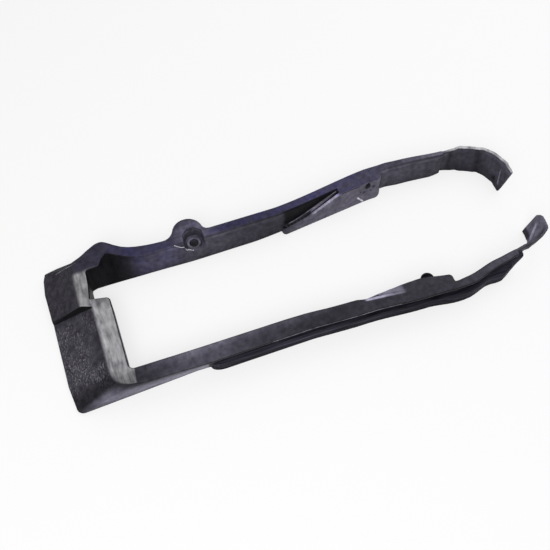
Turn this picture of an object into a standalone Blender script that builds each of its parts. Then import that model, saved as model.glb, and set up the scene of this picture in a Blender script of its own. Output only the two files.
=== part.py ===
"""Chain slider for a motorcycle swingarm: one moulded piece, modelled in metres with +Z up.

The piece lies on its side.  X runs along the two arms from the nose to the tails, Y runs across
the gap from the near arm to the far arm, and Z is the width of the strip.  One ribbon-shaped wall
is lofted round the U from section to section, and the lug, guide walls, rub rail and flaps join
it.  The underside of the nose is cored to narrow cells, so that the wall moulds evenly.
Lengths below are millimetres, measured from the inner face of the nose (X), from the inner faces
of the two arms (Y) and from the table (Z).
"""

import math

import bmesh
import bpy
from mathutils import Vector

MM = 0.001
NODE_NAME = "chain_slider"

# Strip and arms
STRIP_WIDTH = 22.0
ARM_GAP = 79.5
FAR_WALL = 7.0
NEAR_WALL = 11.4
EDGE_RADIUS = 0.9
FAR_DRAFT = 3.7
NOSE_FAR_DRAFT = 2.2
RING_STEP = 4.5
CORNER_STEPS = 12
INSET = 0.3

# Places along the arms, from the inner face of the nose
SHOULDER_X = 3.0
JOIN_X = 48.0
LUG_X = 63.6
BEND_X = 128.0
KNEE_X = 220.0
FAR_TAIL_X = 264.0
NEAR_TAIL_X = 274.0
BEND_OUT = 11.5
NEAR_BEND_OUT = 6.0
NEAR_LIFT = 2.5
NEAR_NOTCH = 1.2

# Nose: two ramped blocks that meet at a slanted step
NEAR_FACE_RUN = 42.5
NEAR_STRIP = 10.6
NEAR_CREST_IN = 2.7
FAR_STRIP_BACK = 10.6
FAR_STRIP = 7.8
STEP_FROM_FAR = 27.0
STEP_RISE = 2.8
STEP_SLANT = 6.4
STEP_CREST_IN = 1.4
NOTCH_BACK = 22.3
NEAR_LIP = 1.6
FAR_LIP = 3.4
NOSE_CORNER = 14.0
NOSE_FOOT_CORNER = 4.5
NOSE_INNER_CORNER = 3.2
NOSE_DRAFT = 1.0
NOSE_WALL = 5.0
NOSE_RIB = 3.2
CELL_WIDTH = 7.0
FAR_FOOT_OUT = 22.0
NEAR_FOOT_OUT = 8.7
NEAR_FOOT_RISE = 3.2
FRONT_SKEW = 2.2
FRONT_BOW = 1.0
FRONT_BOW_BACK = 18.0
FAR_FRONT_CORNER = 7.0
FAR_FRONT_BACK = 2.0
STRAIGHT_NOSE = 28.0

# Shoulder and bolt lug on the far arm
SHOULDER_OUT = 14.5
SHOULDER_SPREAD = 13.5
SHOULDER_SPREAD_FRONT = 18.0
HOLLOW_OUT = 10.4
LUG_RADIUS = 11.0
LUG_OUT = 8.5
LUG_FILLET_FRONT = 9.0
LUG_FILLET_BACK = 4.5
LUG_SINK = 0.2
RECESS_BEHIND = 2.4
RECESS_OUT = 3.6
RECESS_RADIUS = 7.2
RECESS_FLOOR = 11.5
RECESS_LIP = 16.0
LUG_BORE = 6.4
SEAT_RADIUS = 5.3
SEAT_HEIGHT = 1.6

# Rub rail on the near arm
RAIL_START_X = 49.5
RAIL_END_X = 280.0
RAIL_HEIGHT = 14.0
RAIL_SET_BACK = 1.1
RAIL_BOW = 9.0
RAIL_BELLY = 2.4
RAIL_HEEL = 5.2
RAIL_TAPER = 14.0
RAIL_TIP_RISE = 11.0
UNDERCUT = 2.4
BAND_THICKNESS = 3.0

# Guide walls on the inner sides of both arms
GUIDE_WALL = 2.0
GUIDE_WEB = 1.6
GUIDE_IN = 5.5
GUIDE_SLOPE = 0.118
GUIDE_LEAN = 1.6
TONGUE_HEIGHT = 5.6
TONGUE_CLIMB = 3.6
TONGUE_TIP = 2.2
GUIDE_START_X = 131.0
TONGUE_LENGTH = 19.0
GUIDE_RISE = 27.0
GUIDE_END_X = 213.4
GUIDE_CORNER = 7.0
RIB_WALL = 0.8
RIB_START_HEIGHT = 7.2
RIB_CLIMB = 2.0
DIMPLE_BACK = 13.0
DIMPLE_DOWN = 3.0
DIMPLE_RADIUS = 1.5
DIMPLE_DEPTH = 1.6
NEAR_GUIDE_START_X = 157.0
NEAR_GUIDE_RISE = 31.0
NEAR_GUIDE_END_X = 222.6
NEAR_GUIDE_START_OUT = 2.2
NEAR_GUIDE_OUT = 4.6
NEAR_GUIDE_HOOK = 1.2
NEAR_GUIDE_START_HEIGHT = 14.0
NUB_BACK = 14.0
NUB_RADIUS = 4.8
NUB_OUT = 7.6
NUB_FOOT = 3.0
NUB_HEIGHT = 15.0

# Curled flaps at both tails
FLAP_THICKNESS = 2.0
FLAP_STEP = 1.5
FLAP_INSET = 0.4
FLAP_WAVE = 0.7
FLAP_WAVE_LENGTH = 17.5
FLAP_LEAN_RUN = 16.0
FLAP_END_ROUND = 5.0
FAR_FLAP_ROOT = 4.0
FAR_FLAP_LENGTH = 62.0
FAR_FLAP_HEADING = -4.0
FAR_FLAP_CURL = 90.0
FAR_FLAP_LEAN = 6.0
FAR_FLAP_END_DROP = 1.0
NEAR_FLAP_ROOT = 6.0
NEAR_FLAP_LENGTH = 46.5
NEAR_FLAP_HEADING = 11.0
NEAR_FLAP_CURL = 83.0
NEAR_FLAP_LEAN = 7.0
NEAR_FLAP_LEAN_START = 18.0
NEAR_FLAP_END_DROP = 3.5
NECK_HEIGHT = 6.5
NECK_END = 27.5
NECK_FLARE = 5.0

BODY_COLOUR = (0.028, 0.028, 0.034, 1.0)
BODY_ROUGHNESS = 0.55

FAR_FACE_Y = ARM_GAP / 2
NEAR_FACE_Y = -ARM_GAP / 2
STEP_Y = FAR_FACE_Y - STEP_FROM_FAR
NOTCH_Y = FAR_FACE_Y - NOTCH_BACK
RECESS_X = LUG_X + RECESS_BEHIND
GUIDE_RISE_X = GUIDE_START_X + TONGUE_LENGTH
GUIDE_FULL_X = GUIDE_RISE_X + GUIDE_RISE
DIMPLE_X = GUIDE_END_X - DIMPLE_BACK
NEAR_GUIDE_FULL_X = NEAR_GUIDE_START_X + NEAR_GUIDE_RISE
NUB_X = NEAR_GUIDE_END_X - NUB_BACK
FEATURE_TOP = STRIP_WIDTH - INSET


def clear_scene():
    """Remove every object that the start file holds."""
    for item in list(bpy.data.objects):
        bpy.data.objects.remove(item, do_unlink=True)


def smooth_value(stations, x):
    """Read a curve through (x, value) stations at x, eased between neighbours."""
    if x <= stations[0][0]:
        return stations[0][1]
    for (x0, v0), (x1, v1) in zip(stations, stations[1:]):
        if x <= x1:
            share = (x - x0) / (x1 - x0)
            eased = share * share * (3.0 - 2.0 * share)
            return v0 + (v1 - v0) * (0.5 * share + 0.5 * eased)
    return stations[-1][1]


def straight_value(stations, x):
    """Read a line of straight runs through (x, value) stations at x."""
    if x <= stations[0][0]:
        return stations[0][1]
    for (x0, v0), (x1, v1) in zip(stations, stations[1:]):
        if x <= x1:
            return v0 + (v1 - v0) * (x - x0) / (x1 - x0)
    return stations[-1][1]


def bell(distance, spread):
    """Bell curve of height 1 at distance 0, with long tails."""
    return 1.0 / (1.0 + (distance / spread) ** 2) ** 1.3


def far_inner(x):
    """Inner face of the far arm along its top edge."""
    return FAR_FACE_Y + smooth_value((
        (BEND_X, 0.0),
        (KNEE_X - 10.0, BEND_OUT - 1.2),
        (KNEE_X, BEND_OUT),
        (KNEE_X + 12.0, BEND_OUT - 0.6),
        (FAR_TAIL_X, BEND_OUT - 3.2),
    ), x)


def far_outer(x):
    """Outer face of the far arm: the wall thins behind the knee and swells at the shoulder."""
    spread_here = SHOULDER_SPREAD if x > SHOULDER_X else SHOULDER_SPREAD_FRONT
    shoulder = SHOULDER_OUT * bell(x - SHOULDER_X, spread_here)
    fade = smooth_value(((SHOULDER_X + 25.0, 1.0), (LUG_X - 10.0, 0.0)), x)
    thinning = smooth_value((
        (KNEE_X - 20.0, 0.0),
        (KNEE_X + 5.0, -1.9),
        (FAR_TAIL_X, -2.9),
    ), x)
    return far_inner(x) + FAR_WALL + shoulder * fade + thinning


def far_hollow(x):
    """How far the top of the inner face is set out where it follows the shoulder."""
    return smooth_value((
        (SHOULDER_X - 4.5, 0.2 * HOLLOW_OUT),
        (SHOULDER_X - 1.5, 0.68 * HOLLOW_OUT),
        (SHOULDER_X + 2.5, HOLLOW_OUT),
        (SHOULDER_X + 6.5, 0.78 * HOLLOW_OUT),
        (SHOULDER_X + 11.5, 0.45 * HOLLOW_OUT),
        (SHOULDER_X + 17.0, 0.19 * HOLLOW_OUT),
        (SHOULDER_X + 27.0, 0.0),
    ), x)


def far_draft(x):
    """How far the foot of the far arm's inner face stands inside its top edge."""
    return FAR_DRAFT * smooth_value((
        (0.0, NOSE_FAR_DRAFT / FAR_DRAFT),
        (0.5 * LUG_X, 0.75),
        (LUG_X, 1.0),
        (BEND_X - 20.0, 0.9),
        (BEND_X + 10.0, 0.35),
        (KNEE_X - 10.0, 0.35),
        (KNEE_X + 8.0, 0.8),
        (FAR_TAIL_X - 8.0, 0.75),
        (FAR_TAIL_X, 0.3),
    ), x)


def near_line(x):
    """Reference line of the near arm: it bends out towards the knee and back to the tail."""
    return NEAR_FACE_Y - smooth_value((
        (BEND_X - 8.0, 0.6),
        (KNEE_X - 60.0, 3.4),
        (KNEE_X - 20.0, NEAR_BEND_OUT + 1.5),
        (KNEE_X + 4.0, NEAR_BEND_OUT + 5.8),
        (KNEE_X + 14.0, NEAR_BEND_OUT + 4.8),
        (KNEE_X + 36.0, NEAR_BEND_OUT - 0.2),
        (NEAR_TAIL_X, NEAR_BEND_OUT - 2.8),
    ), x)


def near_inner(x):
    """Inner face of the near arm, which steps back where its guide wall starts."""
    lift = smooth_value(((0.0, 1.0), (JOIN_X, 0.7), (BEND_X - 25.0, 0.6), (BEND_X + 5.0, 0.25),
                         (NEAR_GUIDE_START_X, 0.5), (KNEE_X - 20.0, 0.35), (KNEE_X, 0.0)), x)
    notch = smooth_value(((NEAR_GUIDE_START_X - 3.0, 0.0), (NEAR_GUIDE_START_X + 3.0, 1.0),
                          (NEAR_GUIDE_FULL_X - 4.0, 0.8), (NEAR_GUIDE_FULL_X + 12.0, 0.0)), x)
    return near_line(x) + NEAR_LIFT * lift - NEAR_NOTCH * notch


def near_outer(x):
    """Outer top edge of the near arm: the wall is thinner at the nose and behind the knee."""
    front = smooth_value(((0.0, NEAR_CREST_IN), (0.4 * JOIN_X, 0.5 * NEAR_CREST_IN), (JOIN_X, 0.0)), x)
    thinning = smooth_value((
        (BEND_X, 0.0),
        (KNEE_X - 20.0, -2.0),
        (KNEE_X + 4.0, -5.4),
        (KNEE_X + 14.0, -4.4),
        (NEAR_TAIL_X, -6.2),
    ), x)
    return near_line(x) - NEAR_WALL + front - thinning


def near_foot(x):
    """Outer foot of the near arm: it closes in from the nose and then stays under the wall."""
    if x < JOIN_X:
        start = -NEAR_FACE_RUN + FRONT_SKEW + NOSE_FOOT_CORNER
        share = (x - start) / (JOIN_X - start)
        return NEAR_FACE_Y - NEAR_FOOT_OUT + NEAR_FOOT_RISE * share
    wall = near_line(x) - near_outer(x)
    return near_outer(x) + min(6.0, 0.52 * wall)


def section(outer_top, inner_top, inner_foot, outer_foot, lip=0.0, undercut=0.0):
    """Corners of one cross-section of the wall, from four plan points.

    The outer face runs from the outer top edge down to the lip above the outer foot.  An undercut
    sets the face back below the band of the top edge.
    """
    top_across = Vector(inner_top) - Vector(outer_top)
    foot_across = Vector(inner_foot) - Vector(outer_foot)
    top_unit = top_across.normalized()
    foot_unit = foot_across.normalized()
    lip_height = max(lip, 2.0 * EDGE_RADIUS)
    face_height = STRIP_WIDTH - lip_height
    face_run = Vector(outer_foot) - Vector(outer_top)

    def face_point(below_top, set_in):
        plan = Vector(outer_top) + face_run * (below_top / face_height) + top_unit * set_in
        return (plan.x, plan.y, STRIP_WIDTH - below_top)

    soft = EDGE_RADIUS
    outer_edge = Vector(outer_top) + top_unit * soft
    outer_toe = Vector(outer_foot) + foot_unit * soft
    inner_toe = Vector(inner_foot) - foot_unit * soft
    inner_edge = Vector(inner_top) - top_unit * soft
    return [
        (outer_edge.x, outer_edge.y, STRIP_WIDTH),
        face_point(0.3 * soft, 0.3 * soft),
        face_point(soft, 0.0),
        face_point(BAND_THICKNESS, 0.0),
        face_point(BAND_THICKNESS + 0.8 * UNDERCUT, undercut),
        (outer_foot[0], outer_foot[1], lip_height),
        (outer_foot[0], outer_foot[1], soft),
        (outer_toe.x, outer_toe.y, 0.0),
        (inner_toe.x, inner_toe.y, 0.0),
        (inner_foot[0], inner_foot[1], soft),
        (inner_top[0], inner_top[1], STRIP_WIDTH - soft),
        (inner_edge.x, inner_edge.y, STRIP_WIDTH),
    ]


def solid_from_rings(name, rings):
    """Skin a row of rings that have the same number of corners and cap both ends."""
    mesh = bpy.data.meshes.new(name)
    build = bmesh.new()
    rows = [[build.verts.new(Vector(corner) * MM) for corner in ring] for ring in rings]
    count = len(rows[0])
    for row, following in zip(rows, rows[1:]):
        for i in range(count):
            j = (i + 1) % count
            build.faces.new((row[i], row[j], following[j], following[i]))
    build.faces.new(rows[0])
    build.faces.new(list(reversed(rows[-1])))
    bmesh.ops.recalc_face_normals(build, faces=build.faces)
    build.to_mesh(mesh)
    build.free()
    solid = bpy.data.objects.new(name, mesh)
    bpy.context.collection.objects.link(solid)
    return solid


def prism(name, outline, z_low, z_high):
    """Extrude a plan outline between two heights."""
    return solid_from_rings(name, [[(x, y, z_low) for x, y in outline],
                                   [(x, y, z_high) for x, y in outline]])


def arc(centre, radius, start, end, steps):
    """Plan points on an arc, angles in degrees."""
    points = []
    for i in range(steps + 1):
        angle = math.radians(start + (end - start) * i / steps)
        points.append((centre[0] + radius * math.cos(angle), centre[1] + radius * math.sin(angle)))
    return points


def spread(start, end):
    """Places from start to end about one ring step apart, both ends included."""
    count = max(2, math.ceil(abs(end - start) / RING_STEP))
    return [start + (end - start) * i / count for i in range(count + 1)]


def far_arm_rings():
    """Sections of the far arm from its tail to the front of the shoulder."""
    rings = []
    places = spread(FAR_TAIL_X, SHOULDER_X + 27.0) + spread(SHOULDER_X + 27.0, SHOULDER_X + 9.0)[1:]
    places += [SHOULDER_X + advance for advance in (6.5, 4.5, 2.5, 0.5, -1.5, -3.0, -4.5)]
    for x in places:
        outer, inner = far_outer(x), far_inner(x)
        splay = smooth_value(((SHOULDER_X, 1.0), (SHOULDER_X + 18.0, 0.0)), x)
        rings.append(section((x, outer), (x, inner + far_hollow(x)), (x, inner - far_draft(x)),
                             (x - 2.0 * splay, outer + splay)))
    return rings


def far_block_rings():
    """Sections of the far block, from the shoulder to the edge of the step."""
    edge_x = -FAR_STRIP_BACK
    crest_x = edge_x - FAR_STRIP
    front_x = -NEAR_FACE_RUN
    side_y = FAR_FACE_Y + FAR_FOOT_OUT
    foot_y = FAR_FACE_Y - NOSE_FAR_DRAFT
    behind = crest_x + 1.45 * FAR_STRIP
    middle = crest_x + 0.45 * FAR_STRIP
    step_inner = (edge_x - 2.0 * NOSE_DRAFT, NOTCH_Y + 2.0 * NOSE_DRAFT)
    return [
        section((behind, far_outer(behind)), (edge_x + 3.2, FAR_FACE_Y + 1.8),
                (edge_x + 3.0, foot_y), (crest_x + 2.0, side_y), FAR_LIP),
        section((middle, far_outer(middle) - 1.5), (edge_x + 0.5, FAR_FACE_Y + 1.4),
                (edge_x - 0.6, foot_y - 1.0), (front_x + 1.5 * FAR_FRONT_CORNER, side_y), FAR_LIP),
        section((crest_x, FAR_FACE_Y + 7.6), (edge_x, FAR_FACE_Y),
                (edge_x - NOSE_DRAFT, foot_y - 3.0),
                (front_x + FAR_FRONT_BACK, side_y - 0.25 * FAR_FRONT_CORNER), FAR_LIP),
        section((crest_x - 0.2, FAR_FACE_Y + 3.0), (edge_x, FAR_FACE_Y - 3.0),
                (edge_x - NOSE_DRAFT, FAR_FACE_Y - 6.0),
                (front_x + 0.1 * FAR_FRONT_BACK, side_y - FAR_FRONT_CORNER), FAR_LIP),
        section((crest_x - 0.7, FAR_FACE_Y - 6.0), (edge_x - 0.5, FAR_FACE_Y - 10.0),
                (edge_x - NOSE_DRAFT, FAR_FACE_Y - 11.0),
                (front_x - FRONT_BOW, side_y - FRONT_BOW_BACK), FAR_LIP),
        section((crest_x - 1.2, STEP_Y + STEP_RISE), step_inner,
                (step_inner[0] - NOSE_DRAFT, step_inner[1]),
                (front_x - INSET, STEP_Y + STEP_RISE + STEP_SLANT), FAR_LIP),
    ]


def near_block_rings():
    """Sections of the near block, from the root of the step round the near corner."""
    front_x = -NEAR_FACE_RUN
    crest_x = -NEAR_STRIP
    rings = [
        section((crest_x - STEP_CREST_IN, STEP_Y), (-1.4, NOTCH_Y - INSET), (-NOSE_DRAFT, NOTCH_Y - INSET),
                (front_x, STEP_Y + STEP_SLANT), NEAR_LIP),
        section((crest_x, STEP_Y - 4.0), (0.0, NOTCH_Y - 2.0), (-NOSE_DRAFT, NOTCH_Y - 2.0),
                (front_x, STEP_Y), NEAR_LIP),
        section((crest_x, -STRAIGHT_NOSE), (0.0, -STRAIGHT_NOSE), (-NOSE_DRAFT, -STRAIGHT_NOSE),
                (front_x + INSET, -STRAIGHT_NOSE), NEAR_LIP),
    ]
    crest_centre = (crest_x + NOSE_CORNER, near_outer(0.0) + INSET + NOSE_CORNER)
    inner_centre = (NOSE_INNER_CORNER, near_inner(0.0) + NOSE_INNER_CORNER)
    turn_x = front_x + FRONT_SKEW + NOSE_FOOT_CORNER
    foot_centre = (turn_x, near_foot(turn_x) + NOSE_FOOT_CORNER)
    crest_arc = arc(crest_centre, NOSE_CORNER, 180, 266, CORNER_STEPS)
    inner_arc = arc(inner_centre, NOSE_INNER_CORNER, 180, 270, CORNER_STEPS)
    foot_arc = arc(foot_centre, NOSE_FOOT_CORNER, 180, 270, CORNER_STEPS)
    for top, inner, foot in zip(crest_arc, inner_arc, foot_arc):
        rings.append(section(top, inner, (inner[0] - NOSE_DRAFT, inner[1]), foot, NEAR_LIP))
    return rings


def near_arm_rings():
    """Sections of the near arm: crest, inner edge and foot start apart and meet at the join."""
    rings = []
    crest_start = NOSE_CORNER - NEAR_STRIP
    foot_start = -NEAR_FACE_RUN + FRONT_SKEW + NOSE_FOOT_CORNER
    for i in range(1, CORNER_STEPS):
        share = i / CORNER_STEPS
        crest_x = crest_start + (JOIN_X - crest_start) * share
        inner_x = NOSE_INNER_CORNER + (JOIN_X - NOSE_INNER_CORNER) * share
        foot_x = foot_start + (JOIN_X - foot_start) * share
        rings.append(section((crest_x, near_outer(crest_x)), (inner_x, near_inner(inner_x)),
                             (inner_x, near_inner(inner_x)), (foot_x, near_foot(foot_x)),
                             NEAR_LIP * (1.0 - share)))
    for x in spread(JOIN_X, NEAR_TAIL_X):
        cut = UNDERCUT * min(1.0, max(0.0, (x - RAIL_START_X) / RAIL_BOW))
        rings.append(section((x, near_outer(x)), (x, near_inner(x)), (x, near_inner(x)),
                             (x, near_foot(x)), 0.0, cut))
    return rings


def nose_cells():
    """Cutters for the cored underside of the nose: narrow cells with ribs between them."""
    roof = STRIP_WIDTH - 1.5 * NOSE_WALL
    below = -2.0
    toe_x = -NEAR_FACE_RUN + 2.2 * NOSE_WALL
    blocks = (
        ("near", NEAR_FACE_Y + NOSE_WALL, STEP_Y - NOSE_WALL, -NOSE_WALL - NOSE_DRAFT),
        ("far", STEP_Y + 1.4 * NOSE_WALL, FAR_FACE_Y + NOSE_WALL, -FAR_STRIP_BACK - NOSE_WALL),
    )
    cutters = []
    for name, y_low, y_high, back_x in blocks:
        count = max(1, round((y_high - y_low + NOSE_RIB) / (CELL_WIDTH + NOSE_RIB)))
        cell = (y_high - y_low - NOSE_RIB * (count - 1)) / count
        profile = [(toe_x, below), (toe_x, 1.0), (back_x - 4.0, roof), (back_x, roof),
                   (back_x, below)]
        for i in range(count):
            start = y_low + i * (cell + NOSE_RIB)
            cutters.append(solid_from_rings(
                name + " cell", [[(x, y, z) for x, z in profile] for y in (start, start + cell)]))
    return cutters


def lug_fillet(centre, wall_y, radius, side):
    """Arc that blends the wall into the lug's circle, from the wall on the given side."""
    rise = wall_y + radius - centre[1]
    across = math.sqrt((LUG_RADIUS + radius) ** 2 - rise ** 2)
    middle = (centre[0] + side * across, wall_y + radius)
    lean = math.degrees(math.atan2(rise, across))
    touch = 180.0 + lean if side > 0 else -lean
    return arc(middle, radius, -90.0 if side < 0 else 270.0, touch, 7), lean


def bolt_lug():
    """Lug on the outer side of the far arm, blended into the wall at both feet."""
    wall_y = far_outer(LUG_X) - 0.05
    root = wall_y - 0.5 * FAR_WALL
    centre = (LUG_X, far_inner(LUG_X) + LUG_OUT)
    front, front_lean = lug_fillet(centre, wall_y, LUG_FILLET_FRONT, -1)
    back, back_lean = lug_fillet(centre, wall_y, LUG_FILLET_BACK, 1)
    crown = arc(centre, LUG_RADIUS, 180.0 - front_lean, back_lean, 18)
    outline = front + crown[1:-1] + list(reversed(back))
    outline += [(outline[-1][0], root), (outline[0][0], root)]
    return prism("lug", outline, 0.0, STRIP_WIDTH - LUG_SINK)


def lug_recess():
    """Cutters of the lug: an arched recess with a slanted lip on its front side."""
    centre = (RECESS_X, far_inner(RECESS_X) + RECESS_OUT)
    open_y = far_inner(RECESS_X) - 5.0
    over = STRIP_WIDTH + 2.0
    arch = prism("recess", arc(centre, RECESS_RADIUS, 0, 180, 18)
                 + [(centre[0] - RECESS_RADIUS, open_y), (centre[0] + RECESS_RADIUS, open_y)],
                 RECESS_FLOOR, over)
    lip_x = RECESS_X - RECESS_LIP
    profile = [(lip_x, STRIP_WIDTH), (RECESS_X, RECESS_FLOOR), (RECESS_X, over), (lip_x, over)]
    lip = solid_from_rings("lip", [[(x, y, z) for x, z in profile]
                                   for y in (open_y, far_inner(RECESS_X) + 1.2)])
    return [arch, lip]


def lug_seat():
    """Raised seat of the bolt on the floor of the recess, and the cutter of its hole."""
    centre = (RECESS_X, far_inner(RECESS_X) + RECESS_OUT)
    seat = prism("seat", arc(centre, SEAT_RADIUS, 0, 360, 24)[:-1], RECESS_FLOOR - 1.0,
                 RECESS_FLOOR + SEAT_HEIGHT)
    bore = prism("bore", arc(centre, LUG_BORE / 2, 0, 360, 20)[:-1], -2.0, STRIP_WIDTH + 2.0)
    return seat, bore


def box_ring(x, y_low, y_high, z_low, z_high):
    """Rectangular section across the arm."""
    return [(x, y_low, z_low), (x, y_high, z_low), (x, y_high, z_high), (x, y_low, z_high)]


def guide_face(x):
    """Foot of the far guide wall's face on the gap side, rounded off at both ends."""
    line = FAR_FACE_Y - GUIDE_IN + GUIDE_SLOPE * (min(x, DIMPLE_X) - GUIDE_START_X)
    foot = far_inner(x) - far_draft(x)
    tip = max(0.0, 1.0 - (x - GUIDE_START_X) / TONGUE_TIP)
    heel = max(0.0, 1.0 - (GUIDE_END_X - x) / GUIDE_CORNER)
    rounded = min(1.0, 0.6 * tip ** 2 + 1.0 - math.sqrt(1.0 - heel ** 2))
    return foot - (foot - line) * (1.0 - rounded)


def leaning_ring(x, y_low, y_high, z_low, z_high):
    """Section whose top stands out from the gap by the lean of the guide walls."""
    lean = GUIDE_LEAN * z_high / STRIP_WIDTH
    return [(x, y_low, z_low), (x, y_high, z_low), (x, y_high + lean, z_high),
            (x, y_low + lean, z_high)]


def far_guide():
    """Guide wall of the far arm: a low tongue that ramps up to a full block over a pocket."""
    wall_tops = ((GUIDE_START_X, TONGUE_HEIGHT), (GUIDE_RISE_X, TONGUE_HEIGHT + TONGUE_CLIMB),
                 (GUIDE_FULL_X, FEATURE_TOP))
    rib_tops = ((GUIDE_START_X, RIB_START_HEIGHT),
                (GUIDE_RISE_X - 6.0, RIB_START_HEIGHT + RIB_CLIMB),
                (GUIDE_FULL_X - 2.0, FEATURE_TOP))
    places = [GUIDE_START_X, GUIDE_START_X + 0.4 * TONGUE_TIP]
    places += spread(GUIDE_START_X + TONGUE_TIP, GUIDE_FULL_X + 3.0)
    wall, web, rib = [], [], []
    for x in places:
        face = guide_face(x)
        wall.append(leaning_ring(x, face, face + GUIDE_WALL, INSET, straight_value(wall_tops, x)))
        web.append(box_ring(x, face + INSET, far_inner(x) + 1.0, INSET, GUIDE_WEB))
        middle = 0.45 * (face + GUIDE_WALL) + 0.55 * (far_inner(x) - far_draft(x))
        rib.append(leaning_ring(x, middle - RIB_WALL / 2, middle + RIB_WALL / 2, 2.0 * INSET,
                                straight_value(rib_tops, x)))
    block = []
    stations = spread(GUIDE_FULL_X, GUIDE_END_X - GUIDE_CORNER)
    stations += [GUIDE_END_X - GUIDE_CORNER * gap for gap in (0.8, 0.6, 0.4, 0.2, 0.08, 0.0)]
    for x in stations:
        block.append(leaning_ring(x, guide_face(x), far_inner(x) + 1.5, INSET, FEATURE_TOP))
    return [solid_from_rings("far guide", wall), solid_from_rings("pocket web", web[1:]),
            solid_from_rings("pocket rib", rib[2:]), solid_from_rings("far block", block)]


def dimple():
    """Cutter of the round dent near the top edge of the block."""
    face = guide_face(DIMPLE_X) + GUIDE_LEAN
    level = STRIP_WIDTH - DIMPLE_DOWN
    rings = []
    for y in (face - 2.0, face + DIMPLE_DEPTH):
        round_edge = arc((DIMPLE_X, level), DIMPLE_RADIUS, 0, 360, 12)[:-1]
        rings.append([(x, y, z) for x, z in round_edge])
    return solid_from_rings("dimple", rings)


def near_guide():
    """Guide wall and nub on the inner side of the near arm; its top ramps up to the strip."""
    end = NEAR_GUIDE_END_X
    out_line = ((NEAR_GUIDE_START_X, NEAR_GUIDE_START_OUT), (NEAR_GUIDE_FULL_X, NEAR_GUIDE_OUT),
                (end - 3.0, NEAR_GUIDE_OUT + NEAR_GUIDE_HOOK))
    tops = ((NEAR_GUIDE_START_X, NEAR_GUIDE_START_HEIGHT), (NEAR_GUIDE_FULL_X, FEATURE_TOP))
    rings = []
    for x in spread(NEAR_GUIDE_START_X, end - 2.0) + [end - 1.0, end - 0.3, end]:
        corner = max(0.0, 1.0 - (end - x) / 2.0)
        face = near_inner(x) + straight_value(out_line, x) - 1.6 * corner ** 2
        rings.append(box_ring(x, near_inner(x) - 2.0, face, INSET, straight_value(tops, x)))
    root = near_inner(NUB_X) - 2.5
    nub = arc((NUB_X, near_inner(NUB_X) + NUB_OUT), NUB_RADIUS, 0, 180, 12)
    nub += [(NUB_X - NUB_RADIUS, root), (NUB_X + NUB_RADIUS, root)]
    return [solid_from_rings("near guide", rings), prism("nub", nub, NUB_FOOT, NUB_HEIGHT)]


def rub_rail():
    """Rub rail along the outer side of the near arm, with a bow in front and a ski tip behind."""
    rings = []
    stations = [RAIL_START_X + advance for advance in (0.0, 0.8, 2.0, 3.5, 6.0, RAIL_BOW)]
    stations += spread(RAIL_START_X + RAIL_BOW, RAIL_END_X)[1:]
    for x in stations:
        bow = math.sqrt(max(0.0, 1.0 - (1.0 - min(1.0, (x - RAIL_START_X) / RAIL_BOW)) ** 2))
        tip = min(1.0, (RAIL_END_X - x) / RAIL_TAPER)
        belly = smooth_value(((KNEE_X - 15.0, 0.0), (KNEE_X + 6.0, RAIL_BELLY),
                              (KNEE_X + 28.0, RAIL_BELLY - 0.2), (KNEE_X + 42.0, RAIL_HEEL),
                              (RAIL_END_X, 0.0)), x)
        full = near_outer(x) + RAIL_SET_BACK - belly
        root = near_foot(x) + 1.6
        face = root + (full - root) * (0.25 + 0.75 * bow)
        foot = INSET + RAIL_TIP_RISE * (1.0 - tip) ** 2
        height = foot + (RAIL_HEIGHT - INSET) * (0.45 + 0.55 * bow) * (0.35 + 0.65 * tip)
        rings.append([
            (x, root, foot),
            (x, face + 1.2, foot),
            (x, face, foot + 1.0),
            (x, face, height - 1.4),
            (x, face + 0.7, height),
            (x, root, height + 0.6),
        ])
    return solid_from_rings("rub rail", rings)


def flap_rings(start, length, lean_start, lean, end_drop, heading_at, foot_at):
    """Sections of a thin flap that follows a heading along its length and leans outwards.

    heading_at gives degrees along the flap and foot_at the height of its lower edge.  The outer
    side is the one away from the curl, and end_drop rounds off the upper corner of the free end.
    """
    place = Vector(start)
    outer_side = -math.copysign(1.0, heading_at(length) - heading_at(0.0))
    count = math.ceil(length / FLAP_STEP)
    step = length / count
    rings = []
    for i in range(count + 1):
        along = i * step
        heading = math.radians(heading_at(along))
        outward = Vector((-math.sin(heading), math.cos(heading))) * outer_side
        crease = math.cos(2.0 * math.pi * along / FLAP_WAVE_LENGTH)
        wave = FLAP_WAVE * max(0.0, crease) ** 3 * min(1.0, along / 10.0)
        tilt = lean * min(1.0, max(0.0, along - lean_start) / FLAP_LEAN_RUN)
        to_end = max(0.0, 1.0 - (length - along) / FLAP_END_ROUND)
        head = STRIP_WIDTH - FLAP_INSET - end_drop * to_end ** 2
        foot = foot_at(along)
        ring = []
        for side, height in ((-1, foot), (1, foot), (1, head), (-1, head)):
            offset = side * FLAP_THICKNESS / 2 + wave + tilt * (height / STRIP_WIDTH - 0.5)
            spot = place + outward * offset
            ring.append((spot.x, spot.y, height))
        rings.append(ring)
        place = place + Vector((math.cos(heading), math.sin(heading))) * step
    return rings


def far_flap():
    """Flap of the far arm, which turns round the end of the swingarm in one wide curl."""
    def heading_at(along):
        turned = smooth_value(((0.0, 0.0), (9.0, 4.0), (19.0, 15.0), (31.0, 28.0), (37.0, 37.0),
                               (43.0, 62.0), (52.0, 78.0), (FAR_FLAP_LENGTH, FAR_FLAP_CURL)), along)
        return FAR_FLAP_HEADING - turned

    def foot_at(along):
        return FLAP_INSET

    start = (FAR_TAIL_X - FAR_FLAP_ROOT, far_outer(FAR_TAIL_X) - 0.75 * FLAP_THICKNESS)
    return solid_from_rings("far flap", flap_rings(
        start, FAR_FLAP_LENGTH, FAR_FLAP_ROOT, FAR_FLAP_LEAN, FAR_FLAP_END_DROP, heading_at, foot_at))


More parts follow.
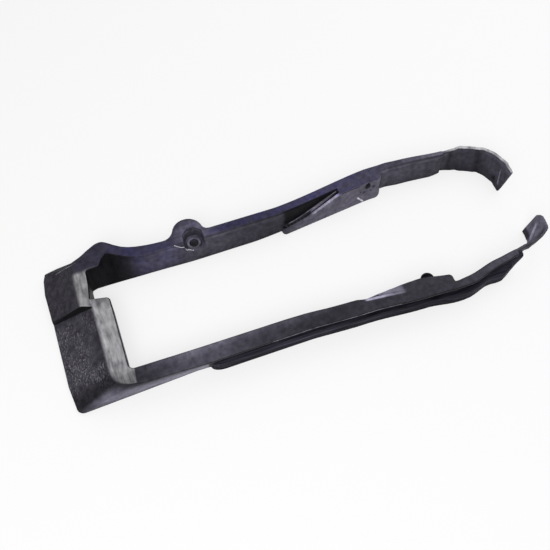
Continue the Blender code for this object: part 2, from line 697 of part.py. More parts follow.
def near_flap():
    """Leaf of the near arm on its narrow neck."""
    def heading_at(along):
        turned = smooth_value(((0.0, 0.0), (18.0, 2.0), (24.0, 13.0), (29.0, 29.0), (33.0, 42.0),
                               (37.0, 65.0), (NEAR_FLAP_LENGTH, NEAR_FLAP_CURL)), along)
        return NEAR_FLAP_HEADING + turned

    def foot_at(along):
        neck_foot = STRIP_WIDTH - FLAP_INSET - NECK_HEIGHT
        return smooth_value(((NECK_END, neck_foot), (NECK_END + NECK_FLARE, FLAP_INSET)), along)

    root_x = NEAR_TAIL_X - NEAR_FLAP_ROOT
    start = (root_x, near_inner(root_x) - 0.85 * FLAP_THICKNESS)
    return solid_from_rings("near flap", flap_rings(
        start, NEAR_FLAP_LENGTH, NEAR_FLAP_LEAN_START, NEAR_FLAP_LEAN, NEAR_FLAP_END_DROP,
        heading_at, foot_at))


def combine(body, tool, operation):
    """Join a tool to the body or cut it away, then remove the tool."""
    step = body.modifiers.new(tool.name, "BOOLEAN")
    step.operation = operation
    step.solver = "EXACT"
    step.object = tool
    bpy.context.view_layer.objects.active = body
    bpy.ops.object.modifier_apply(modifier=step.name)
    bpy.data.objects.remove(tool, do_unlink=True)


def plastic():
    """Black moulded plastic."""
    material = bpy.data.materials.new("black moulded plastic")
    material.use_nodes = True
    shader = material.node_tree.nodes["Principled BSDF"]
    shader.inputs["Base Color"].default_value = BODY_COLOUR
    shader.inputs["Roughness"].default_value = BODY_ROUGHNESS
    return material


def settle(body):
    """Move the mesh so that the box of the piece is centred on X and Y and stands on Z zero."""
    corners = [vertex.co.copy() for vertex in body.data.vertices]
    low = Vector(min(c[i] for c in corners) for i in range(3))
    high = Vector(max(c[i] for c in corners) for i in range(3))
    shift = Vector(((low.x + high.x) / 2, (low.y + high.y) / 2, low.z))
    for vertex in body.data.vertices:
        vertex.co -= shift


def tidy_mesh(body):
    """Merge stray doubles and triangulate, so that the solid stays closed."""
    build = bmesh.new()
    build.from_mesh(body.data)
    bmesh.ops.remove_doubles(build, verts=build.verts, dist=0.00002)
    bmesh.ops.dissolve_degenerate(build, edges=build.edges, dist=0.00001)
    bmesh.ops.triangulate(build, faces=build.faces)
    bmesh.ops.recalc_face_normals(build, faces=build.faces)
    build.to_mesh(body.data)
    build.free()


def build_slider():
    """Loft the wall round the U, join the features and cut the openings."""
    clear_scene()
    rings = far_arm_rings() + far_block_rings() + near_block_rings() + near_arm_rings()
    body = solid_from_rings(NODE_NAME, rings)
    seat, bore = lug_seat()
    features = [bolt_lug(), rub_rail()] + far_guide() + near_guide() + [far_flap(), near_flap()]
    for feature in features:
        combine(body, feature, "UNION")
    for cutter in lug_recess() + [dimple()] + nose_cells():
        combine(body, cutter, "DIFFERENCE")
    combine(body, seat, "UNION")
    combine(body, bore, "DIFFERENCE")
    tidy_mesh(body)
    settle(body)
    body.name = NODE_NAME
    body.data.materials.clear()
    body.data.materials.append(plastic())
    body.data.shade_smooth()
    body.data.set_sharp_from_angle(angle=math.radians(35))
    return body


build_slider()
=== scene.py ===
"""Looks of a moulded chain slider: its skin, its wear, its flash lines, the light and the camera.

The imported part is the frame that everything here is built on.  X runs along the two arms from the
nose to the tails, Y runs from the near arm (rub rail) to the far arm (bolt lug), and Z is the width
of the strip.  Sizes in the classes are millimetres, and MM turns them to the metres of the scene.
"""

from __future__ import annotations

import logging
import math
from dataclasses import dataclass, field
from enum import Enum
from typing import Any

import bmesh
import bpy
import numpy as np
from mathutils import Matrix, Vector
from mathutils.bvhtree import BVHTree

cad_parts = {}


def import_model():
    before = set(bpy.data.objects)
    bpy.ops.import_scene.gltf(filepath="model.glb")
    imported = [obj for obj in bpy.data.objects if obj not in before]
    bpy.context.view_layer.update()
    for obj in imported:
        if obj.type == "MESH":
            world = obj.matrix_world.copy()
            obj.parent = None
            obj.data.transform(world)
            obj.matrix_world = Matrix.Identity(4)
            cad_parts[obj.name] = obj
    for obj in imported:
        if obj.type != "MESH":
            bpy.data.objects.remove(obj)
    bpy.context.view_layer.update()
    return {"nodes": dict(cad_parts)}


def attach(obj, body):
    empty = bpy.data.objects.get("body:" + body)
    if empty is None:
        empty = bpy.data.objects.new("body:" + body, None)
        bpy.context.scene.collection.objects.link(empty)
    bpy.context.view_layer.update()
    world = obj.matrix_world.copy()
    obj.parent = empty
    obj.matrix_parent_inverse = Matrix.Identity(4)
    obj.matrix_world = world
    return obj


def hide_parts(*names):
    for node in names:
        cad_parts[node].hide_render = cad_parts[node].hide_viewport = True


LOG = logging.getLogger("chain_slider_looks")
MM = 0.001
NODE = "chain_slider"
BODY = "root"

# Where the rays of the probe start, clear of the part, in metres.
CLEAR_ABOVE = 0.1
CLEAR_BESIDE = 0.2
# Points that lie closer than this are merged.
MERGE_MM = 0.001

# A station is a place and the tone there.  A fade is the name of a reading of the surface, where
# the fade starts and where it is full.
Stations = tuple[tuple[float, float], ...]
Fades = tuple[tuple[str, float, float], ...]


class Arm(Enum):
    """The two arms, by the sign of the direction from the gap to the arm along Y."""

    NEAR = -1
    FAR = 1


class Side(Enum):
    """Which face of an arm a line lies on."""

    GAP = "gap"
    OUTSIDE = "outside"
    TOP = "top"


def srgb(code: str) -> tuple[float, float, float, float]:
    """Turn an sRGB hex colour to the linear colour of a shader.

    Args:
        code: six hex digits after a hash mark.

    Returns:
        Linear red, green and blue, with full alpha.
    """
    channels = [int(code[i:i + 2], 16) / 255.0 for i in (1, 3, 5)]
    linear = [c / 12.92 if c <= 0.04045 else ((c + 0.055) / 1.055) ** 2.4 for c in channels]
    return (linear[0], linear[1], linear[2], 1.0)


def add_node(tree: bpy.types.NodeTree, kind: str, settings: dict[str, Any] | None = None,
             links: dict[str | int, Any] | None = None) -> bpy.types.Node:
    """Add a node, set its properties and fill its inputs.

    Args:
        tree: the node tree that takes the node.
        kind: the node's type name.
        settings: properties of the node by name.
        links: inputs by name or number, each an output socket to link or a plain value.

    Returns:
        The new node.
    """
    node = tree.nodes.new(kind)
    for name, value in (settings or {}).items():
        setattr(node, name, value)
    for key, value in (links or {}).items():
        if isinstance(value, bpy.types.NodeSocket):
            tree.links.new(value, node.inputs[key])
        else:
            node.inputs[key].default_value = value
    return node


def eased(values: np.ndarray, start: float, end: float) -> np.ndarray:
    """Blend smoothly from 0 at start to 1 at end.

    Args:
        values: the numbers to read.
        start: where the blend leaves 0.
        end: where the blend reaches 1, below start for a falling blend.

    Returns:
        The blend for each number.
    """
    share = np.clip((values - start) / (end - start), 0.0, 1.0)
    return share * share * (3.0 - 2.0 * share)


def along(values: np.ndarray, stations: Stations) -> np.ndarray:
    """Read a tone that is given at a few stations.

    Args:
        values: places to read it at.
        stations: pairs of place and tone, places rising.

    Returns:
        The tone at each place.
    """
    places, tones = zip(*stations)
    return np.interp(values, places, tones)


def plain_mesh(piece: bpy.types.Object) -> None:
    """Turn the result of a piece's modifiers to its plain mesh and drop the modifiers.

    Args:
        piece: the piece, whose mesh is replaced.
    """
    graph = bpy.context.evaluated_depsgraph_get()
    result = bpy.data.meshes.new_from_object(piece.evaluated_get(graph))
    piece.modifiers.clear()
    old = piece.data
    piece.data = result
    name = old.name
    bpy.data.meshes.remove(old)
    result.name = name


def weld(mesh: bpy.types.Mesh, outwards: bool = False) -> None:
    """Merge the points of a mesh that lie on each other.

    Args:
        mesh: the mesh, which is changed.
        outwards: whether its faces are then turned outwards.
    """
    work = bmesh.new()
    work.from_mesh(mesh)
    bmesh.ops.remove_doubles(work, verts=work.verts, dist=MERGE_MM * MM)
    if outwards:
        bmesh.ops.recalc_face_normals(work, faces=work.faces)
    work.to_mesh(mesh)
    work.free()


def new_material(name: str) -> tuple[bpy.types.Material, bpy.types.NodeTree, bpy.types.Node]:
    """Start a material.

    Args:
        name: the finish's name.

    Returns:
        The material, its node tree and its surface shader.
    """
    material = bpy.data.materials.new(name)
    material.use_nodes = True
    return material, material.node_tree, material.node_tree.nodes["Principled BSDF"]


def layered(tree: bpy.types.NodeTree, base: Any,
            layers: tuple[tuple[Any, Any], ...]) -> bpy.types.NodeSocket:
    """Lay colours over a base colour, one after the other.

    Args:
        tree: the material's node tree.
        base: the colour at the bottom.
        layers: pairs of the share that a colour covers and the colour.

    Returns:
        The finished colour's socket.
    """
    for share, over in layers:
        base = add_node(tree, "ShaderNodeMix", {"data_type": "RGBA"},
                        {0: share, 6: base, 7: over}).outputs[2]
    return base


def blotches(tree: bpy.types.NodeTree, place: bpy.types.NodeSocket, size_mm: float, low: float,
             high: float, detail: float = 3.0,
             squeeze: tuple[float, float, float] | None = None) -> bpy.types.NodeSocket:
    """Make a mask of blotches from their real size.

    Args:
        tree: the material's node tree.
        place: the object's own coordinates.
        size_mm: width of one blotch.
        low: noise value that turns to 0.
        high: noise value that turns to 1.
        detail: octaves of the noise.
        squeeze: how far the blotches are squeezed along each axis, below 1 where drawn out.

    Returns:
        The mask's socket.
    """
    if squeeze is not None:
        place = add_node(tree, "ShaderNodeMapping", None,
                         {"Vector": place, "Scale": squeeze}).outputs[0]
    noise = add_node(tree, "ShaderNodeTexNoise", None,
                     {"Vector": place, "Scale": 1.0 / (size_mm * MM), "Detail": detail})
    mask = add_node(tree, "ShaderNodeMapRange", None,
                    {"Value": noise.outputs["Fac"], "From Min": low, "From Max": high})
    return mask.outputs["Result"]


class SurfaceProbe:
    """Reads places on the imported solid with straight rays, so that nothing is placed by guess."""

    def __init__(self, piece: bpy.types.Object) -> None:
        """Index the piece's faces.

        Args:
            piece: an object whose mesh is in its place.
        """
        corners = [vertex.co.copy() for vertex in piece.data.vertices]
        faces = [tuple(face.vertices) for face in piece.data.polygons]
        self.tree = BVHTree.FromPolygons(corners, faces)

    def hit(self, arm: Arm, side: Side, x: float, across: float) -> Vector | None:
        """Find a point on a face of an arm.

        Args:
            arm: which arm.
            side: which face of it.
            x: place along the arm in metres.
            across: height in metres, or Y for the top face.

        Returns:
            The point, or nothing where the ray finds no surface.
        """
        if side is Side.TOP:
            start, way = Vector((x, across, CLEAR_ABOVE)), Vector((0.0, 0.0, -1.0))
        elif side is Side.GAP:
            start, way = Vector((x, 0.0, across)), Vector((0.0, arm.value, 0.0))
        else:
            start = Vector((x, arm.value * CLEAR_BESIDE, across))
            way = Vector((0.0, -arm.value, 0.0))
        return self.tree.ray_cast(start, way)[0]


@dataclass(frozen=True)
class BlackPolyamide:
    """Finish: injection-moulded black polyamide that has been run, handled and wiped clean.

    The mould left a fine satin grain, and the grey-violet cast on the flats is a painted sheen.
    The ramps of the nose are sand-scoured and speckled, and the crest strip is rubbed pale and
    smooth.
    """

    name: str = "moulded black polyamide"
    body_dark: str = "#302e37"
    body_light: str = "#403e47"
    # Colour of the painted sheen on the flats.
    violet: str = "#353358"
    ramp_dark: str = "#2c2a31"
    ramp_light: str = "#47454d"
    speck: str = "#8d8b91"
    # The rubbed strip; the same colours paint the highlight on the far flap's rim.
    rubbed_dark: str = "#525156"
    rubbed_light: str = "#a8a7aa"
    # Colour of the painted highlight on sharp edges.
    edge: str = "#8f8d97"
    # Painted shade in the inner corners.
    crease: str = "#0b0a10"
    roughness: float = 0.5
    ramp_roughness: float = 0.8
    rubbed_roughness: float = 0.45
    specular: float = 0.08
    edge_start: float = 0.7
    edge_share: float = 0.5
    streak_share: float = 0.3
    # The mould's own grain is about 0.1 mm.  It is drawn coarser, as it wouldn't show otherwise.
    grain_mm: float = 0.7
    grain_depth_mm: float = 0.05
    grain_strength: float = 0.35
    pit_depth_mm: float = 0.25
    pit_strength: float = 0.8
    mottle_mm: float = 8.0
    cloud_mm: float = 7.0
    speckle_mm: float = 3.6
    unevenness: tuple[float, float] = (0.68, 1.32)
    streak_mm: float = 1.6
    streak_squeeze: tuple[float, float, float] = (0.08, 1.0, 1.0)
    speck_mm: float = 1.0
    speck_squeeze: tuple[float, float, float] = (1.3, 0.6, 1.0)
    speck_field_mm: float = 12.0
    ramp_cloud_mm: float = 4.0
    smear_mm: float = 1.8
    smear_squeeze: tuple[float, float, float] = (1.0, 0.22, 1.0)
    rubbed_cloud_mm: float = 9.0
    edge_patch_mm: float = 3.6
    # The line where the rubbing stops: a point of it along X and Y, and its slant.
    strip_end_m: tuple[float, float] = (-0.1286, 0.044)
    strip_end_slant: float = 0.11
    strip_end_soft_mm: float = 0.3

    def build(self) -> bpy.types.Material:
        """Build the material.

        Returns:
            The finished material.
        """
        material, tree, shader = new_material(self.name)
        place = add_node(tree, "ShaderNodeTexCoord").outputs["Object"]
        names = ("ramp", "scoured", "rubbed", "violet", "tone", "flap_rim_highlight", "edge", "crease")
        zones = {}
        for name in names:
            zone = add_node(tree, "ShaderNodeAttribute", {"attribute_name": name})
            zones[name] = zone.outputs["Fac"]
        colour = layered(tree, self._body_colour(tree, place, zones["violet"]), (
            (zones["ramp"], self._ramp_colour(tree, place, zones["scoured"])),
            (self._rubbed_and_highlight_share(tree, place, zones), self._rubbed_and_highlight_colour(tree, place))))
        toned = add_node(tree, "ShaderNodeVectorMath", {"operation": "SCALE"},
                         {0: colour, "Scale": zones["tone"]}).outputs[0]
        # The tone paints light and shade; then come the painted highlight on sharp edges and the
        # painted shade in inner corners.
        colour = layered(tree, toned, (
            (self._edge_highlight_share(tree, place, zones["edge"]), srgb(self.edge)),
            (zones["crease"], srgb(self.crease))))
        tree.links.new(colour, shader.inputs["Base Color"])
        tree.links.new(self._roughness(tree, zones), shader.inputs["Roughness"])
        tree.links.new(self._bump(tree, place, zones["ramp"]), shader.inputs["Normal"])
        shader.inputs["Specular IOR Level"].default_value = self.specular
        return material

    def _body_colour(self, tree: bpy.types.NodeTree, place: bpy.types.NodeSocket,
                     tinged: bpy.types.NodeSocket) -> bpy.types.NodeSocket:
        """Colour the moulded flats: blotched, faintly streaked along the arms, speckled, and with
        the painted violet sheen.

        Args:
            tree: the material's node tree.
            place: the object's own coordinates.
            tinged: share of the places with the painted violet sheen.

        Returns:
            The colour's socket.
        """
        cloud = blotches(tree, place, self.cloud_mm, 0.1, 0.7)
        violet = add_node(tree, "ShaderNodeMath", {"operation": "MULTIPLY"}, {0: tinged, 1: cloud})
        streak = blotches(tree, place, self.streak_mm, 0.35, 0.7, squeeze=self.streak_squeeze)
        faint = add_node(tree, "ShaderNodeMath", {"operation": "MULTIPLY"},
                         {0: streak, 1: self.streak_share})
        colour = layered(tree, srgb(self.body_dark), (
            (blotches(tree, place, self.mottle_mm, 0.3, 0.7, 5.0), srgb(self.body_light)),
            (violet.outputs[0], srgb(self.violet)),
            (faint.outputs[0], srgb(self.body_light))))
        low, high = self.unevenness
        uneven = add_node(tree, "ShaderNodeMapRange", None,
                          {"Value": blotches(tree, place, self.speckle_mm, 0.3, 0.7, 5.0),
                           "To Min": low, "To Max": high}).outputs["Result"]
        return add_node(tree, "ShaderNodeVectorMath", {"operation": "SCALE"},
                        {0: colour, "Scale": uneven}).outputs[0]

    def _ramp_colour(self, tree: bpy.types.NodeTree, place: bpy.types.NodeSocket,
                     scoured: bpy.types.NodeSocket) -> bpy.types.NodeSocket:
        """Colour the nose ramps: dark and cloudy, with pale specks where the chain ran most.

        Args:
            tree: the material's node tree.
            place: the object's own coordinates.
            scoured: share of the places with specks.

        Returns:
            The colour's socket.
        """
        share = blotches(tree, place, self.speck_mm, 0.5, 0.72, 4.0, self.speck_squeeze)
        for mask in (blotches(tree, place, self.speck_field_mm, 0.35, 0.65, 2.0), scoured):
            share = add_node(tree, "ShaderNodeMath", {"operation": "MULTIPLY"},
                             {0: share, 1: mask}).outputs[0]
        cloud = blotches(tree, place, self.ramp_cloud_mm, 0.3, 0.7)
        return layered(tree, srgb(self.ramp_dark), ((cloud, srgb(self.ramp_light)),
                                                    (share, srgb(self.speck))))

    def _rubbed_and_highlight_colour(self, tree: bpy.types.NodeTree,
                       place: bpy.types.NodeSocket) -> bpy.types.NodeSocket:
        """Colour the rubbed crest strip, and the painted highlight on the far flap's rim: pale
        grey, smeared along the strip, with wide clouds.

        Args:
            tree: the material's node tree.
            place: the object's own coordinates.

        Returns:
            The colour's socket.
        """
        smear = blotches(tree, place, self.smear_mm, 0.32, 0.62, 5.0, self.smear_squeeze)
        cloud = blotches(tree, place, self.rubbed_cloud_mm, 0.36, 0.6, 4.0)
        share = add_node(tree, "ShaderNodeMix", {"data_type": "FLOAT"},
                         {0: 0.5, 2: smear, 3: cloud}).outputs[0]
        return layered(tree, srgb(self.rubbed_dark), ((share, srgb(self.rubbed_light)),))

    def _rubbed_and_highlight_share(self, tree: bpy.types.NodeTree, place: bpy.types.NodeSocket,
                      zones: dict[str, bpy.types.NodeSocket]) -> bpy.types.NodeSocket:
        """Cut the rubbed strip off at the straight line where the rubbing stops.

        Args:
            tree: the material's node tree.
            place: the object's own coordinates.
            zones: the piece's zones by name.

        Returns:
            The share of the rubbed colour, with the painted highlight on the far flap's rim.
        """
        axes = add_node(tree, "ShaderNodeSeparateXYZ", None, {0: place}).outputs
        across = add_node(tree, "ShaderNodeMath", {"operation": "MULTIPLY_ADD"},
                          {0: axes[1], 1: -self.strip_end_slant, 2: axes[0]}).outputs[0]
        end_x, end_y = self.strip_end_m
        end, soft = end_x + self.strip_end_slant * end_y, self.strip_end_soft_mm * MM
        cut = add_node(tree, "ShaderNodeMapRange", None,
                       {"Value": across, "From Min": end + soft, "From Max": end - soft})
        strip = add_node(tree, "ShaderNodeMath", {"operation": "MULTIPLY"},
                         {0: cut.outputs["Result"], 1: zones["rubbed"]})
        return add_node(tree, "ShaderNodeMath", {"operation": "MAXIMUM"},
                        {0: strip.outputs[0], 1: zones["flap_rim_highlight"]}).outputs[0]

    def _edge_highlight_share(self, tree: bpy.types.NodeTree, place: bpy.types.NodeSocket,
                       edge: bpy.types.NodeSocket) -> bpy.types.NodeSocket:
        """Choose the patches of the sharp edges that get a painted highlight.

        Args:
            tree: the material's node tree.
            place: the object's own coordinates.
            edge: how sharp the edge is.

        Returns:
            The share of the painted highlight's colour.
        """
        crisp = add_node(tree, "ShaderNodeMapRange", None,
                         {"Value": edge, "From Min": self.edge_start, "To Max": self.edge_share})
        patch = blotches(tree, place, self.edge_patch_mm, 0.2, 0.6)
        return add_node(tree, "ShaderNodeMath", {"operation": "MULTIPLY"},
                        {0: crisp.outputs["Result"], 1: patch}).outputs[0]

    def _roughness(self, tree: bpy.types.NodeTree,
                   zones: dict[str, bpy.types.NodeSocket]) -> bpy.types.NodeSocket:
        """Set the roughness by zone: satin flats, dull ramps and the smoother rubbed strip.

        Args:
            tree: the material's node tree.
            zones: the piece's zones by name.

        Returns:
            The roughness's socket.
        """
        value: Any = self.roughness
        for name, level in (("ramp", self.ramp_roughness), ("rubbed", self.rubbed_roughness)):
            value = add_node(tree, "ShaderNodeMix", {"data_type": "FLOAT"},
                             {0: zones[name], 2: value, 3: level}).outputs[0]
        return value

    def _bump(self, tree: bpy.types.NodeTree, place: bpy.types.NodeSocket,
              ramp: bpy.types.NodeSocket) -> bpy.types.NodeSocket:
        """Raise the fine mould grain everywhere, and sink scoured pits into the ramps.

        Args:
            tree: the material's node tree.
            place: the object's own coordinates.
            ramp: share of the ramps.

        Returns:
            The normal's socket.
        """
        grain = blotches(tree, place, self.grain_mm, 0.3, 0.7)
        pits = add_node(tree, "ShaderNodeMath", {"operation": "MULTIPLY"},
                        {0: ramp, 1: blotches(tree, place, self.speck_mm, 0.35, 0.75, 5.0)})
        fine = add_node(tree, "ShaderNodeBump", None,
                        {"Strength": self.grain_strength,
                         "Distance": self.grain_depth_mm * MM, "Height": grain})
        rough = add_node(tree, "ShaderNodeBump", None,
                         {"Strength": self.pit_strength, "Distance": self.pit_depth_mm * MM,
                          "Height": pits.outputs[0], "Normal": fine.outputs["Normal"]})
        return rough.outputs["Normal"]


@dataclass(frozen=True)
class BurnishedPolyamide:
    """Finish: the same polyamide, burnished by the chain.

    The rubbing leaves it near black, with dull streaks that are drawn out along the arm.
    """

    name: str = "burnished black polyamide"
    black: str = "#101017"
    dull: str = "#32313b"
    roughness: float = 0.55
    specular: float = 0.02
    streak_mm: float = 1.5
    streak_squeeze: tuple[float, float, float] = (0.07, 1.0, 1.0)
    streak_depth_mm: float = 0.06
    streak_strength: float = 0.4

    def build(self) -> bpy.types.Material:
        """Build the material.

        Returns:
            The finished material.
        """
        material, tree, shader = new_material(self.name)
        place = add_node(tree, "ShaderNodeTexCoord").outputs["Object"]
        streak = blotches(tree, place, self.streak_mm, 0.35, 0.7, 4.0, self.streak_squeeze)
        colour = layered(tree, srgb(self.black), ((streak, srgb(self.dull)),))
        tone = add_node(tree, "ShaderNodeAttribute", {"attribute_name": "tone"}).outputs["Fac"]
        toned = add_node(tree, "ShaderNodeVectorMath", {"operation": "SCALE"},
                         {0: colour, "Scale": tone})
        tree.links.new(toned.outputs[0], shader.inputs["Base Color"])
        bump = add_node(tree, "ShaderNodeBump", None,
                        {"Strength": self.streak_strength,
                         "Distance": self.streak_depth_mm * MM, "Height": streak})
        tree.links.new(bump.outputs["Normal"], shader.inputs["Normal"])
        shader.inputs["Roughness"].default_value = self.roughness
        shader.inputs["Specular IOR Level"].default_value = self.specular
        return material


@dataclass(frozen=True)
class BareNylon:
    """Finish of the thin lines of polyamide: pale beads that stand as painted highlights, a scrape
    and dark lines.

    It is matt, in uneven patches of two colours; the highlight beads and the scrape are paler than
    the moulded skin.
    """

    name: str = "pale polyamide of painted highlights"
    pale: str = "#7b7983"
    dull: str = "#45434d"
    roughness: float = 0.7
    specular: float = 0.2
    patch_mm: float = 5.0

    def build(self) -> bpy.types.Material:
        """Build the material.

        Returns:
            The finished material.
        """
        material, tree, shader = new_material(self.name)
        place = add_node(tree, "ShaderNodeTexCoord").outputs["Object"]
        share = blotches(tree, place, self.patch_mm, 0.35, 0.6, 2.0)
        colour = layered(tree, srgb(self.dull), ((share, srgb(self.pale)),))
        tree.links.new(colour, shader.inputs["Base Color"])
        shader.inputs["Roughness"].default_value = self.roughness
        shader.inputs["Specular IOR Level"].default_value = self.specular
        return material


@dataclass(frozen=True)
class Patch:
    """A patch of one tone on the skin.

    It lies within the shares that it names, narrowed by its fades.  The tone is one number or
    stations along X, and may also change with the height.
    """

    tone: float | Stations
    within: tuple[str, ...]
    fades: Fades = ()
    height: Stations = ((0.0, 1.0),)


@dataclass(frozen=True)
class Tint:
    """A place that is lighter (above 0) or darker (below 0) than what is round it."""

    amount: float
    fades: Fades
    within: tuple[str, ...] = ()


@dataclass(frozen=True)
class Zones:
    """Where each look lies, as fades along the readings of the surface."""

    far: Fades = (("y", -5.0, 5.0),)
    level: Fades = (("up", 0.72, 0.95), ("z", 20.0, 21.0))
    nose: Fades = (("x", -127.0, -130.0),)
    ramp: Fades = (("ahead", 0.1, -0.25), ("up", 0.0, 0.2))
    # The near corner is spared most of the scouring.
    corner: Fades = (("aside", -0.25, -0.6), ("y", -30.0, -40.0))
    corner_calm: float = 0.85
    # Pale specks lie on the near ramp, and few of them on the rest.
    scoured: Fades = (("y", -50.0, -38.0), ("y", 13.5, 7.5))
    scoured_least: float = 0.25
    rubbed: Fades = (("x", -120.0, -122.0), ("y", 42.0, 38.0))
    rail: Fades = (("y", -20.0, -22.0), ("x", -83.5, -82.5), ("x", 151.0, 149.0),
                   ("z", 19.5, 15.5), ("aside", 0.3, 0.0))
    # The painted violet sheen lies on the far arm.
    violet: Fades = (("y", 10.0, 20.0),)
    # Painted highlight on the top rim of the far tail flap.
    flap_rim_highlight: Fades = (("y", 0.0, 10.0), ("z", 20.6, 21.3), ("up", -0.3, 0.0), ("x", 134.0, 142.0))
    flap_rim_highlight_share: float = 0.9
    # Sharp edges that face the near side get a painted highlight.  The other sharp edges, the rims,
    # get painted shade.
    lit: Fades = (("aside", 0.0, -0.3), ("z", 19.0, 21.0), ("x", 134.0, 128.0), ("x", 84.0, 88.0))
    edge: Fades = (("bend", 0.01, 0.05),)
    rim: Fades = (("bend", 0.02, 0.1), ("x", 153.0, 147.0))
    rim_shade: float = 0.55
    # Painted shade in the inner corners.
    crease: Fades = (("bend", -0.02, -0.09), ("x", 153.0, 147.0))
    guide_front: Fades = (("x", -1.5, 1.0), ("x", 83.5, 82.5), ("past_guide", 1.6, 0.4))
    leaf: Fades = (("x", 147.0, 153.0), ("y", -40.0, -34.0))
    curl: Fades = (("x", 164.0, 166.0),)


@dataclass(frozen=True)
class Tones:
    """Painted light and shade of the skin along the part, as a share of the plain colour.

    Places are millimetres along X from the middle of the part.  The sheen of the flats and sides is
    painted, the hollow of the shoulder and the pocket behind the guide wall get painted shade, and
    the guide faces and the lug get painted highlights.
    """

    # Painted sheen and shade along the top bands and sides of the arms.
    far_band: Stations = ((-140.0, 0.75), (-112.0, 0.85), (-84.0, 1.0), (-56.0, 1.05),
                          (-47.0, 0.86), (-30.0, 0.75), (-8.0, 0.87), (38.0, 1.3), (62.0, 1.2),
                          (96.0, 1.3), (106.0, 1.9), (124.0, 3.0), (130.0, 3.2))
    # The far arm's inner side; its dark start is painted shade in the hollow of the shoulder.
    far_inner: Stations = ((-124.0, 0.1), (-114.0, 0.3), (-106.0, 1.15), (-95.0, 1.5),
                           (-80.0, 1.5), (-43.0, 1.2), (-8.0, 0.75), (84.0, 1.5), (112.0, 1.3),
                           (130.0, 1.0), (136.5, 0.95), (139.5, 0.4), (143.0, 0.85), (156.0, 0.8),
                           (160.0, 0.4), (163.0, 0.85), (171.0, 1.2))
    # Painted shade towards the foot of the far arm's inner side.
    inner_height: Stations = ((0.0, 0.45), (4.0, 0.8), (10.0, 1.1), (17.0, 1.05), (22.0, 0.85))
    # Painted highlight just below the far arm's inner rim.
    inner_rim: Tint = Tint(0.7, (("z", 17.5, 19.0), ("z", 20.6, 20.0), ("x", -92.0, -84.0)))
    # Painted sheen along the near arm's top band.
    near_band: Stations = ((-129.0, 0.8), (-118.0, 1.2), (-96.0, 2.3), (-78.0, 2.6), (-52.0, 1.4),
                           (-17.0, 1.05), (14.0, 0.72), (60.0, 0.75), (90.0, 0.78), (112.0, 1.2),
                           (140.0, 1.5))
    # Painted light across the near band: lighter on its gap side, with painted shade towards its
    # outer side and its tail.
    near_band_gap_side: float = 1.2
    near_band_outer_side: Tint = Tint(-0.55, (("y", -42.5, -47.0), ("x", 25.0, 5.0)))
    near_band_tail: Tint = Tint(-0.2, (("x", 5.0, 25.0),))
    # Painted sheen of the near arm's outer side.
    near_outer: Stations = ((-172.0, 0.6), (-160.0, 1.5), (-148.0, 2.7), (-128.0, 2.8),
                            (-100.0, 4.0), (-84.0, 3.6), (-82.0, 1.2))
    # Painted shade at the foot of the near arm's outer side and under the band's overhang.
    outer_height: Stations = ((0.5, 0.3), (2.5, 0.9), (7.0, 1.4), (12.0, 1.3), (17.0, 0.7),
                              (20.0, 0.25), (22.0, 0.2))
    # Painted light on the gap-side faces of the guide.
    guide_face: Patch = Patch(((0.0, 1.0), (12.0, 2.2), (60.0, 2.9), (82.0, 2.1)), ("front",))
    # Painted shade in the pocket behind the guide wall, which also darkens the far arm's outer side
    # there.
    pocket: Patch = Patch(0.1, ("far", "flank"),
                          (("x", 0.0, 3.0), ("x", 52.0, 46.0), ("past_guide", 2.0, 3.0)))
    # Painted highlight along the sloping top edge of the guide plate.
    ridge: Patch = Patch(8.0, ("far",), (("past_ridge", -1.1, -0.5), ("past_guide", 3.0, 2.3),
                                         ("x", 22.0, 25.0), ("x", 46.0, 43.0)))
    # Darkens the dark spots; the first is painted shade in a dimple.
    dark_spots: Patch = Patch(0.2, ("spotted",))
    glint: Patch = Patch(((27.5, 1.0), (30.0, 11.0), (40.0, 8.5), (48.0, 4.5), (57.0, 2.4)),
                         ("near",), (("z", 11.0, 13.0), ("up", 0.35, 0.65),
                                     ("past_glint", -0.3, 0.5), ("x", 27.5, 28.5),
                                     ("x", 57.0, 55.5)))
    # Painted highlights round the lug and on its seat.
    lug_ring: Patch = Patch(2.2, ("level",), (("from_lug", 13.0, 9.0),))
    lug_seat: Patch = Patch(3.8, (), (("from_lug", 6.0, 5.0), ("up", 0.6, 0.9),
                                      ("z", 18.0, 16.0), ("z", 10.0, 11.0)))
    # Painted light along the rub rail, with a painted highlight on its bead and painted shade
    # towards its foot.
    rail: Patch = Patch(((-84.0, 1.1), (-60.0, 0.9), (-20.0, 1.25), (14.0, 0.85), (70.0, 0.55),
                         (112.0, 1.0), (148.0, 1.6)), ("rail",), (),
                        ((0.5, 0.6), (4.0, 0.75), (7.2, 1.15), (8.5, 2.6), (9.8, 1.2),
                         (12.0, 0.9), (15.0, 0.9)))
    # The leaf is painted lighter, with painted shade at its foot and a painted highlight along its
    # fold.
    leaf: Patch = Patch(3.1, ("leaf",))
    leaf_foot: Patch = Patch(0.7, ("leaf",), (("z", 6.5, 4.5), ("y", -33.0, -31.0)))
    leaf_fold_highlight: Patch = Patch(8.0, ("leaf",), (("from_leaf_fold", 1.5, 0.5), ("z", 3.5, 5.0),
                                                ("z", 16.0, 13.0)))
    curl_tints: tuple[Tint, ...] = (
        Tint(3.0, (("from_curl_streak", 0.9, 0.3), ("z", 4.0, 6.0), ("z", 15.0, 13.0)), ("curl",)),
        Tint(-0.85, (("from_curl_spot", 2.2, 1.0),), ("curl",)))
    # Painted shade on parts of the nose ramps: on the far block, near the crest and most on the
    # near side.
    nose_tints: tuple[Tint, ...] = (
        Tint(-0.3, (("y", 11.5, 14.5),)), Tint(-0.25, (("x", -151.8, -145.8),)),
        Tint(-0.7, (("y", -30.0, -46.0),)))
